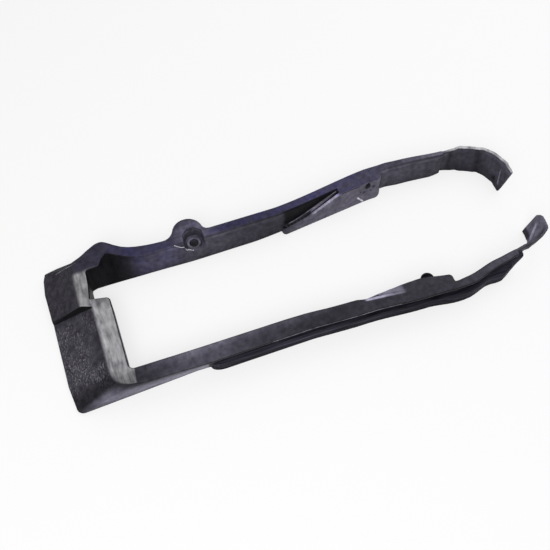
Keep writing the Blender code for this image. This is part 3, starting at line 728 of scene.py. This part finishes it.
    # Painted shade on the step face between the two ramps.
    step: Patch = Patch(0.08, (), (("x", -141.8, -142.8), ("aside", -0.25, -0.5),
                                   ("y", 7.5, 9.5)))
    # Painted shade and light on the crest strip: darker at its far and near ends, lighter along its
    # front edge.
    strip_tints: tuple[Tint, ...] = (
        Tint(-0.33, (("y", 11.5, 17.5),)), Tint(-0.35, (("y", -36.0, -44.0),)),
        Tint(0.3, (("x", -140.3, -141.5),)))
    # Tone of the painted highlight on the far flap's rim.
    flap_rim_highlight: float = 1.7
    # Where the painted violet sheen lies: along the top bands, and less on the inner side.
    violet: Stations = ((-140.0, 0.2), (-122.0, 0.5), (-112.0, 1.0), (-84.0, 0.7), (-76.0, 0.2),
                        (-54.0, 0.2), (-45.0, 1.0), (0.0, 1.0), (38.0, 0.9), (70.0, 0.5),
                        (96.0, 0.1), (130.0, 0.0))
    inner_violet: Stations = ((-116.0, 0.0), (-108.0, 0.5), (-84.0, 0.4), (-72.0, 0.0))


class Skin:
    """Readings of the surface at each of its points, which the looks are placed by.

    A reading is a place in millimetres (x, y, z), a part of the direction (ahead, aside, up), the
    bend, or how far the point lies from one of the part's features.
    """

    def __init__(self, mesh: bpy.types.Mesh) -> None:
        """Read the places, the directions and the bend.

        Args:
            mesh: the evenly gridded mesh.
        """
        place, facing = np.empty(len(mesh.vertices) * 3), np.empty(len(mesh.vertices) * 3)
        mesh.vertices.foreach_get("co", place)
        mesh.vertices.foreach_get("normal", facing)
        place, facing = place.reshape(-1, 3) / MM, facing.reshape(-1, 3)
        ends = np.empty(len(mesh.edges) * 2, np.int64)
        mesh.edges.foreach_get("vertices", ends)
        self.ends = ends.reshape(-1, 2)
        self.shares: dict[str, np.ndarray] = {}
        self.readings = dict(zip(("x", "y", "z", "ahead", "aside", "up"), (*place.T, *facing.T)))
        self.readings["bend"] = self._bend(place, facing)

    def _bend(self, place: np.ndarray, facing: np.ndarray) -> np.ndarray:
        """Measure how far each point stands out from its neighbours along its own direction.

        Args:
            place: the points in millimetres.
            facing: the points' directions.

        Returns:
            Positive on outer edges and negative in inner corners, in millimetres.
        """
        total, count = np.zeros_like(place), np.zeros(len(place))
        for here, there in ((0, 1), (1, 0)):
            np.add.at(total, self.ends[:, here], place[self.ends[:, there]])
            np.add.at(count, self.ends[:, here], 1.0)
        mean = total / np.maximum(count, 1.0)[:, None]
        return ((place - mean) * facing).sum(axis=1)

    def share(self, fades: Fades, within: tuple[str, ...] = ()) -> np.ndarray:
        """Find how far each point belongs to a place on the skin.

        Args:
            fades: blends along readings, all of which narrow the place.
            within: names of shares that the place lies within.

        Returns:
            From 0 outside the place to 1 well inside it.
        """
        share = np.ones_like(self.readings["x"])
        for name in within:
            share = share * self.shares[name]
        for name, start, end in fades:
            share = share * eased(self.readings[name], start, end)
        return share

    def along_arm(self, stations: Stations) -> np.ndarray:
        """Read stations at each point's place along the arms."""
        return along(self.readings["x"], stations)

    def laid(self, tone: np.ndarray, patch: Patch) -> np.ndarray:
        """Lay a patch over the tone.

        Args:
            tone: the tone of each point.
            patch: the patch.

        Returns:
            The new tone of each point.
        """
        share = self.share(patch.fades, patch.within)
        over = patch.tone if isinstance(patch.tone, float) else self.along_arm(patch.tone)
        return tone * (1.0 - share) + over * along(self.readings["z"], patch.height) * share

    def tinted(self, tone: np.ndarray, tints: tuple[Tint, ...]) -> np.ndarray:
        """Lighten or darken the tone by tints, one after the other.

        Args:
            tone: the tone of each point.
            tints: the tints.

        Returns:
            The new tone of each point.
        """
        for tint in tints:
            tone = tone * (1.0 + tint.amount * self.share(tint.fades, tint.within))
        return tone


@dataclass
class MouldedBody:
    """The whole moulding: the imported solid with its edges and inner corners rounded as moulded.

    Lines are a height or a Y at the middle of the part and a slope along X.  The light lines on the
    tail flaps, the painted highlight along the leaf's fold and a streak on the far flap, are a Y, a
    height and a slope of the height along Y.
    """

    name: str = "moulded_slider"
    voxel: float = 0.36
    rounding: int = 7
    rounding_share: float = 0.5
    face_limit: int = 192000
    tone_weight: float = 0.1
    flat_bend: float = 0.004
    look_change: float = 0.02
    kept_weight: float = 4.0
    anchor_share: float = 0.02
    anchor_seed: int = 5
    top: float = 22.0
    lug: tuple[float, float] = (-65.2, 43.6)
    guide_line: tuple[float, float] = (33.0, 0.118)
    guide_lean: float = 1.6
    ridge_line: tuple[float, float] = (0.5, 0.4625)
    glint_line: tuple[float, float] = (-43.7, -0.112)
    leaf_line: tuple[float, float, float] = (-33.5, 4.5, 2.1)
    curl_line: tuple[float, float, float] = (23.3, 14.0, 1.73)
    curl_spot: tuple[float, float] = (24.3, 5.1)
    # Each dark spot on the block: X, height, outer and inner reach, and how deep it is. The first,
    # deepest one is painted shade in a dimple.
    dark_spots: tuple[tuple[float, float, float, float, float], ...] = (
        (69.2, 17.0, 3.2, 1.8, 1.0), (66.3, 12.0, 1.6, 0.8, 0.75), (63.6, 13.4, 1.2, 0.6, 0.75),
        (73.8, 15.2, 1.8, 0.9, 0.75), (72.0, 11.4, 1.2, 0.6, 0.75))
    zones: Zones = field(default_factory=Zones)
    tones: Tones = field(default_factory=Tones)
    finish: BlackPolyamide = field(default_factory=BlackPolyamide)
    rail_finish: BurnishedPolyamide = field(default_factory=BurnishedPolyamide)

    def build(self, node: bpy.types.Object) -> bpy.types.Object:
        """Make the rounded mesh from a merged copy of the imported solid.

        Args:
            node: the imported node's object.

        Returns:
            The finished piece, before its dressing.
        """
        piece = bpy.data.objects.new(self.name, self._merged_copy(node))
        bpy.context.collection.objects.link(piece)
        wall = piece.modifiers.new("even grid", "REMESH")
        wall.mode = "VOXEL"
        wall.voxel_size = self.voxel * MM
        soften = piece.modifiers.new("moulded radii", "SMOOTH")
        soften.factor = self.rounding_share
        soften.iterations = self.rounding
        plain_mesh(piece)
        self._thin(piece)
        piece.data.shade_smooth()
        return piece

    def _merged_copy(self, node: bpy.types.Object) -> bpy.types.Mesh:
        """Copy the solid's loose triangles and weld them.

        Args:
            node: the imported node's object.

        Returns:
            The welded mesh.
        """
        mesh = node.data.copy()
        mesh.name = self.name
        weld(mesh)
        return mesh

    def _thin(self, piece: bpy.types.Object) -> None:
        """Paint the zones, then drop faces on the flats but not where one look meets another.

        Args:
            piece: the evenly gridded piece.
        """
        skin = Skin(piece.data)
        looks = self._looks(skin)
        for name, values in looks.items():
            layer = piece.data.attributes.new(name, "FLOAT", "POINT")
            layer.data.foreach_set("value", values.astype(np.float32))
        first, second = skin.ends.T
        flat = np.abs(skin.readings["bend"]) < self.flat_bend
        meeting = np.zeros(len(piece.data.vertices))
        for name in ("ramp", "rubbed", "rail", "flap_rim_highlight", "tone"):
            change = np.abs(looks[name][first] - looks[name][second])
            if name == "tone":
                change *= self.tone_weight * flat[first] * flat[second]
            np.maximum.at(meeting, first, change)
            np.maximum.at(meeting, second, change)
        anchors = np.random.default_rng(self.anchor_seed).random(len(meeting)) < self.anchor_share
        kept = piece.vertex_groups.new(name="meeting")
        kept.add(np.flatnonzero((meeting > self.look_change) | anchors).tolist(), 1.0, "REPLACE")
        thin = piece.modifiers.new("fewer faces", "DECIMATE")
        thin.ratio = min(1.0, self.face_limit / (2.0 * len(piece.data.polygons)))
        thin.vertex_group = kept.name
        thin.invert_vertex_group = True
        thin.vertex_group_factor = self.kept_weight
        plain_mesh(piece)
        piece.vertex_groups.clear()

    def dress(self, piece: bpy.types.Object) -> None:
        """Give the piece its finishes, the burnished one on the rub rail.

        Args:
            piece: the piece from build.
        """
        piece.data.materials.clear()
        piece.data.materials.append(self.finish.build())
        piece.data.materials.append(self.rail_finish.build())
        rail = np.empty(len(piece.data.vertices), np.float32)
        piece.data.attributes["rail"].data.foreach_get("value", rail)
        for face in piece.data.polygons:
            face.material_index = int(rail[list(face.vertices)].mean() > 0.5)

    def _measure(self, skin: Skin) -> None:
        """Add how far each point lies from the part's own features.

        Args:
            skin: takes the readings.
        """
        read = skin.readings
        x, y, z = read["x"], read["y"], read["z"]
        start, slope = self.guide_line
        read["past_guide"] = y - (start + slope * x + self.guide_lean * z / self.top)
        start, slope = self.ridge_line
        read["past_ridge"] = z - (start + slope * x)
        start, slope = self.glint_line
        read["past_glint"] = y - start - slope * x
        read["from_lug"] = np.hypot(x - self.lug[0], y - self.lug[1])
        read["from_curl_spot"] = np.hypot(y - self.curl_spot[0], z - self.curl_spot[1])
        for name, line in (("from_leaf_fold", self.leaf_line),
                           ("from_curl_streak", self.curl_line)):
            start_y, start_z, rise = line
            off = np.abs(z - start_z - rise * (y - start_y))
            read[name] = off / math.hypot(1.0, rise)

    def _looks(self, skin: Skin) -> dict[str, np.ndarray]:
        """Work out where each look lies, from place and direction of the surface.

        Args:
            skin: the readings of the surface.

        Returns:
            One value for each point, by the name of the look.
        """
        self._measure(skin)
        zones, share = self.zones, skin.shares
        share["far"] = skin.share(zones.far)
        share["near"] = 1.0 - share["far"]
        share["level"] = skin.share(zones.level)
        share["flank"] = 1.0 - share["level"]
        share["nose"] = skin.share(zones.nose)
        ramp = skin.share(zones.ramp, ("nose", "flank"))
        ramp = ramp * (1.0 - zones.corner_calm * skin.share(zones.corner, ("nose",)))
        scoured = zones.scoured_least + (1.0 - zones.scoured_least) * skin.share(zones.scoured)
        share["rail"] = skin.share(zones.rail)
        rubbed = skin.share(zones.rubbed, ("level",))
        violet = (share["level"] * skin.along_arm(self.tones.violet)
                  + share["flank"] * skin.along_arm(self.tones.inner_violet))
        flap_rim_highlight, lit = skin.share(zones.flap_rim_highlight), skin.share(zones.lit)
        shade = 1.0 - zones.rim_shade * skin.share(zones.rim) * (1.0 - lit)
        tone = self._tone(skin, ramp, rubbed) * shade
        return {
            "ramp": ramp,
            "scoured": scoured * ramp,
            "rubbed": rubbed,
            "rail": share["rail"],
            "violet": skin.share(zones.violet) * violet,
            "tone": tone * (1.0 - flap_rim_highlight) + self.tones.flap_rim_highlight * flap_rim_highlight,
            "flap_rim_highlight": zones.flap_rim_highlight_share * flap_rim_highlight,
            "edge": skin.share(zones.edge) * lit,
            "crease": skin.share(zones.crease),
        }

    def _tone(self, skin: Skin, ramp: np.ndarray, rubbed: np.ndarray) -> np.ndarray:
        """Paint light and shade on the skin: the sheen of each face of the arms and of the nose.

        Args:
            skin: the readings of the surface.
            ramp: share of the nose ramps.
            rubbed: share of the rubbed strip.

        Returns:
            The tone of each point.
        """
        tones, share = self.tones, skin.shares
        share["front"] = skin.share(self.zones.guide_front, ("far", "flank"))
        share["leaf"] = skin.share(self.zones.leaf, ("near",))
        share["curl"] = skin.share(self.zones.curl, ("far",))
        share["spotted"] = self._find_dark_spots(skin) * share["front"]
        tone = self._arm_tone(skin)
        for patch in (tones.guide_face, tones.pocket, tones.ridge, tones.dark_spots, tones.glint,
                      tones.lug_ring, tones.lug_seat, tones.rail, tones.leaf, tones.leaf_foot,
                      tones.leaf_fold_highlight):
            tone = skin.laid(tone, patch)
        tone = skin.tinted(tone, tones.curl_tints)
        plain = np.ones_like(tone)
        tone = tone * (1.0 - ramp) + skin.tinted(plain, tones.nose_tints) * ramp
        tone = skin.laid(tone, tones.step)
        return tone * (1.0 - rubbed) + skin.tinted(plain, tones.strip_tints) * rubbed

    def _arm_tone(self, skin: Skin) -> np.ndarray:
        """Paint light and shade on the long faces of the two arms: their top bands and their sides.

        Args:
            skin: the readings of the surface.

        Returns:
            The tone of each point.
        """
        tones, share, height = self.tones, skin.shares, skin.readings["z"]
        across = tones.near_band_gap_side
        for tint in (tones.near_band_outer_side, tones.near_band_tail):
            across = across + tint.amount * skin.share(tint.fades)
        band = share["far"] * skin.along_arm(tones.far_band)
        band = band + share["near"] * skin.along_arm(tones.near_band) * across
        outer = skin.along_arm(tones.near_outer) * along(height, tones.outer_height)
        inner = skin.along_arm(tones.far_inner) * along(height, tones.inner_height)
        inner = skin.tinted(inner, (tones.inner_rim,))
        side = share["far"] * inner + share["near"] * outer
        return share["level"] * band + share["flank"] * side

    def _find_dark_spots(self, skin: Skin) -> np.ndarray:
        """Find the round dark spots on the thick block, the first of them painted shade in its
        dimple.

        Args:
            skin: the readings of the surface.

        Returns:
            How deep the dark spot is at each point.
        """
        x, z = skin.readings["x"], skin.readings["z"]
        dark = np.zeros_like(x)
        for spot_x, spot_z, outer, inner, depth in self.dark_spots:
            from_spot = np.hypot(x - spot_x, z - spot_z)
            dark = np.maximum(dark, depth * eased(from_spot, outer, inner))
        return dark


@dataclass(frozen=True)
class SurfaceLine:
    """One thin raised line that follows a face: a pale bead that stands as a painted highlight, a
    scrape on the block, or a dark line.

    Each mark is a place along X and a height above the table, or a Y on the top face.
    """

    name: str
    arm: Arm
    side: Side
    marks: Stations
    radius: float = 0.3
    waver: float = 0.05
    step: float = 1.0

    def build(self, probe: SurfaceProbe, tree: bpy.types.NodeTree,
              material: bpy.types.Material) -> bpy.types.Object:
        """Lay the path on the surface and sweep the line along it.

        Args:
            probe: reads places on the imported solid.
            tree: the sweep's node tree.
            material: the line's finish.

        Returns:
            The finished piece.
        """
        points = self._path(probe)
        mesh = bpy.data.meshes.new(self.name)
        mesh.from_pydata(points, [(i, i + 1) for i in range(len(points) - 1)], [])
        piece = bpy.data.objects.new(self.name, mesh)
        bpy.context.collection.objects.link(piece)
        sweep = piece.modifiers.new("sweep", "NODES")
        sweep.node_group = tree
        sizes = {"Radius": self.radius * MM, "Waver": self.waver * MM, "Step": self.step * MM,
                 "Finish": material}
        for item in tree.interface.items_tree:
            if item.name in sizes and item.in_out == "INPUT":
                sweep[item.identifier] = sizes[item.name]
        plain_mesh(piece)
        weld(piece.data, outwards=True)
        piece.data.shade_smooth()
        return piece

    def _path(self, probe: SurfaceProbe) -> list[Vector]:
        """Read the line's points from the surface.

        Args:
            probe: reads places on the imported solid.

        Returns:
            The points in metres.
        """
        places, heights = zip(*self.marks)
        ends = np.array([places, heights])
        run = np.hypot(*np.diff(ends, axis=1)).sum()
        count = max(3, int(run / self.step))
        share = np.linspace(0.0, 1.0, count)
        knots = np.linspace(0.0, 1.0, len(places))
        points = []
        for x, across in zip(np.interp(share, knots, places), np.interp(share, knots, heights)):
            spot = probe.hit(self.arm, self.side, x * MM, across * MM)
            if spot is not None:
                points.append(spot)
        return points


def sweep_tree(sides: int = 8, thinnest: float = 0.55, thickest: float = 1.15,
               drift_seed: int = 7, swell_seed: int = 11) -> bpy.types.NodeTree:
    """Build the node tree that sweeps a thin uneven bead along a path.

    Args:
        sides: number of sides of the bead.
        thinnest: the least share of the radius.
        thickest: the largest share of the radius.
        drift_seed: seed of the bead's sideways drift.
        swell_seed: seed of the bead's thickness.

    Returns:
        The node tree, with its sizes as named inputs.
    """
    tree = bpy.data.node_groups.new("uneven bead", "GeometryNodeTree")
    face = tree.interface
    face.new_socket("Geometry", in_out="INPUT", socket_type="NodeSocketGeometry")
    for name in ("Radius", "Waver", "Step"):
        face.new_socket(name, in_out="INPUT", socket_type="NodeSocketFloat")
    face.new_socket("Finish", in_out="INPUT", socket_type="NodeSocketMaterial")
    face.new_socket("Geometry", in_out="OUTPUT", socket_type="NodeSocketGeometry")
    given = add_node(tree, "NodeGroupInput").outputs
    path = add_node(tree, "GeometryNodeMeshToCurve", None, {"Mesh": given["Geometry"]})
    even = add_node(tree, "GeometryNodeResampleCurve", {"mode": "LENGTH"},
                    {"Curve": path.outputs[0], "Length": given["Step"]})
    drift = add_node(tree, "FunctionNodeRandomValue", {"data_type": "FLOAT_VECTOR"},
                     {0: (-1.0, -1.0, -1.0), 1: (1.0, 1.0, 1.0), "Seed": drift_seed})
    shift = add_node(tree, "ShaderNodeVectorMath", {"operation": "SCALE"},
                     {0: drift.outputs[0], "Scale": given["Waver"]})
    moved = add_node(tree, "GeometryNodeSetPosition", None,
                     {"Geometry": even.outputs[0], "Offset": shift.outputs[0]})
    swell = add_node(tree, "FunctionNodeRandomValue", {"data_type": "FLOAT"},
                     {2: thinnest, 3: thickest, "Seed": swell_seed})
    thick = add_node(tree, "GeometryNodeSetCurveRadius", None,
                     {"Curve": moved.outputs[0], "Radius": swell.outputs[1]})
    ring = add_node(tree, "GeometryNodeCurvePrimitiveCircle", None,
                    {"Resolution": sides, "Radius": given["Radius"]})
    bead = add_node(tree, "GeometryNodeCurveToMesh", None,
                    {"Curve": thick.outputs[0], "Profile Curve": ring.outputs[0],
                     "Fill Caps": True})
    whole = add_node(tree, "GeometryNodeRealizeInstances", None, {"Geometry": bead.outputs[0]})
    dressed = add_node(tree, "GeometryNodeSetMaterial", None,
                       {"Geometry": whole.outputs[0], "Material": given["Finish"]})
    add_node(tree, "NodeGroupOutput", None, {"Geometry": dressed.outputs[0]})
    return tree


@dataclass(frozen=True)
class HighlightsScrapeAndDarkLines:
    """The thin lines on the moulding: pale beads that stand as painted highlights along edges, a
    scrape on the block and dark lines on the block.
    """

    # Pale beads that stand as painted highlights along edges.
    lines: tuple[SurfaceLine, ...] = (
        SurfaceLine("band_edge_highlight", Arm.NEAR, Side.OUTSIDE,
                    ((-40.0, 21.4), (0.0, 21.4), (50.0, 21.4)), 0.2),
        SurfaceLine("pocket_rib_highlight", Arm.FAR, Side.TOP, ((5.0, 36.8), (43.5, 42.85)), 0.3),
        SurfaceLine("block_ledge_highlight", Arm.FAR, Side.TOP, ((-162.9, 50.5), (-147.0, 47.9)), 0.3),
    )
    # Dark lines along the block's top and down its heel.
    dark_lines: tuple[SurfaceLine, ...] = (
        SurfaceLine("block_top_line", Arm.FAR, Side.GAP, ((47.0, 21.0), (62.0, 21.0)), 0.25),
        SurfaceLine("block_heel_line", Arm.FAR, Side.GAP,
                    ((81.6, 20.5), (81.2, 15.0), (79.0, 10.5)), 0.35),
    )
    # A painted highlight along the lug's lip, and a scrape on the block.
    scrape_and_highlight_lines: tuple[SurfaceLine, ...] = (
        SurfaceLine("lug_lip_highlight", Arm.FAR, Side.TOP,
                    ((-79.9, 39.2), (-75.6, 37.7), (-70.4, 38.5), (-67.0, 36.6)), 0.3),
        SurfaceLine("block_scrape", Arm.FAR, Side.GAP, ((61.0, 8.6), (65.8, 2.4)), 0.75),
    )
    # Finishes of the painted highlights, of the dark lines, and of the scrape with the lug's
    # highlight.
    finish: BareNylon = field(default_factory=BareNylon)
    dark_lines_finish: BareNylon = BareNylon("polyamide of the dark lines", pale="#17161c", dull="#0e0d12")
    scrape_and_highlight_finish: BareNylon = BareNylon("pale polyamide of a scrape and a painted highlight", pale="#e2e0ea", dull="#a9a7b2")

    def build(self, probe: SurfaceProbe) -> list[bpy.types.Object]:
        """Sweep all lines.

        Args:
            probe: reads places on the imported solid.

        Returns:
            The finished pieces.
        """
        tree = sweep_tree()
        pieces = []
        for lines, finish in ((self.lines, self.finish), (self.scrape_and_highlight_lines, self.scrape_and_highlight_finish),
                              (self.dark_lines, self.dark_lines_finish)):
            material = finish.build()
            pieces += [line.build(probe, tree, material) for line in lines]
        return pieces


@dataclass(frozen=True)
class Studio:
    """Plain pale floor, white surroundings, soft lamps and the camera of the photograph."""

    look_at: tuple[float, float, float] = (-17.57, 4.03, 0.0)
    azimuth: float = -20.0
    elevation: float = 61.0
    distance: float = 500.0
    focal_pixels: float = 700.0
    image_pixels: float = 550.0
    floor_size: float = 3000.0
    floor_white: float = 0.7
    surroundings: float = 0.5
    key: tuple[float, float, float] = (-300.0, -520.0, 700.0)
    key_size: float = 500.0
    key_watts: float = 4.2
    fill: tuple[float, float, float] = (520.0, 300.0, 640.0)
    fill_size: float = 600.0
    fill_watts: float = 2.0
    sensor: float = 36.0
    floor_drop: float = 0.05
    white: str = "#ffffff"
    board: str = "#f2f2f2"

    def build(self) -> None:
        """Set up the view, the floor, the surroundings, the lamps and the camera."""
        bpy.context.scene.view_settings.view_transform = "Standard"
        self._floor()
        self._world()
        self._lamp("key", self.key, self.key_size, self.key_watts)
        self._lamp("fill", self.fill, self.fill_size, self.fill_watts)
        self._camera()

    def _camera(self) -> None:
        """Place the camera by the angles found from the photograph."""
        data = bpy.data.cameras.new("photo view")
        data.sensor_width = self.sensor
        data.lens = data.sensor_width * self.focal_pixels / self.image_pixels
        camera = bpy.data.objects.new("photo view", data)
        bpy.context.collection.objects.link(camera)
        turn, rise = math.radians(self.azimuth), math.radians(self.elevation)
        back = Vector((math.sin(turn) * math.cos(rise), -math.cos(turn) * math.cos(rise),
                       math.sin(rise)))
        camera.location = (Vector(self.look_at) + back * self.distance) * MM
        camera.rotation_euler = (-back).to_track_quat("-Z", "Y").to_euler()
        bpy.context.scene.camera = camera

    def _lamp(self, name: str, place: tuple[float, float, float], size: float,
              power: float) -> None:
        """Add a soft area lamp that looks at the part.

        Args:
            name: the lamp's name.
            place: where it stands, in millimetres.
            size: width of its face, in millimetres.
            power: watts.
        """
        data = bpy.data.lights.new(name, "AREA")
        data.size = size * MM
        data.energy = power
        lamp = bpy.data.objects.new(name, data)
        bpy.context.collection.objects.link(lamp)
        lamp.location = Vector(place) * MM
        lamp.rotation_euler = (-Vector(place)).to_track_quat("-Z", "Y").to_euler()

    def _seen(self, tree: bpy.types.NodeTree) -> bpy.types.NodeSocket:
        """Make a mask of the rays that look at the surroundings, straight or by reflection.

        Args:
            tree: the node tree that takes the mask.

        Returns:
            The mask's socket.
        """
        path = add_node(tree, "ShaderNodeLightPath")
        seen = path.outputs["Is Camera Ray"]
        for name in ("Is Glossy Ray", "Is Transmission Ray"):
            seen = add_node(tree, "ShaderNodeMath", {"operation": "MAXIMUM"},
                            {0: seen, 1: path.outputs[name]}).outputs[0]
        return seen

    def _world(self) -> None:
        """White surroundings, dimmer as a source of light than they look."""
        world = bpy.data.worlds.new("white surroundings")
        world.use_nodes = True
        bpy.context.scene.world = world
        tree = world.node_tree
        strength = add_node(tree, "ShaderNodeMapRange", None,
                            {"Value": self._seen(tree), "To Min": self.surroundings,
                             "To Max": 1.0})
        background = tree.nodes["Background"]
        background.inputs["Color"].default_value = srgb(self.white)
        tree.links.new(strength.outputs["Result"], background.inputs["Strength"])

    def _floor(self) -> None:
        """Pale matt floor that looks white and keeps the part's soft shadow."""
        half = self.floor_size * MM / 2.0
        mesh = bpy.data.meshes.new("floor")
        corners = ((-half, -half), (half, -half), (half, half), (-half, half))
        mesh.from_pydata([(x, y, -self.floor_drop * MM) for x, y in corners], [], [(0, 1, 2, 3)])
        floor = bpy.data.objects.new("floor", mesh)
        bpy.context.collection.objects.link(floor)
        material, tree, shader = new_material("matt white board")
        shader.inputs["Base Color"].default_value = srgb(self.board)
        shader.inputs["Roughness"].default_value = 0.9
        shader.inputs["Specular IOR Level"].default_value = 0.0
        glow = add_node(tree, "ShaderNodeEmission", None, {"Color": srgb(self.white)})
        share = add_node(tree, "ShaderNodeMath", {"operation": "MULTIPLY"},
                         {0: self._seen(tree), 1: self.floor_white}).outputs[0]
        mixed = add_node(tree, "ShaderNodeMixShader", None,
                         {0: share, 1: shader.outputs[0], 2: glow.outputs[0]})
        tree.links.new(mixed.outputs[0], tree.nodes["Material Output"].inputs["Surface"])
        mesh.materials.append(material)


def main() -> None:
    """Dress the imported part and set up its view."""
    logging.basicConfig(level=logging.INFO, format="%(name)s: %(message)s")
    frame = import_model()
    node = frame["nodes"][NODE]
    body = MouldedBody()
    probe = SurfaceProbe(node)
    piece = body.build(node)
    body.dress(piece)
    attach(piece, BODY)
    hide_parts(NODE)
    LOG.info("%s: %d faces", piece.name, len(piece.data.polygons))
    for line in HighlightsScrapeAndDarkLines().build(probe):
        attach(line, BODY)
        LOG.info("%s: %d faces", line.name, len(line.data.polygons))
    Studio().build()


if __name__ == "__main__":
    main()
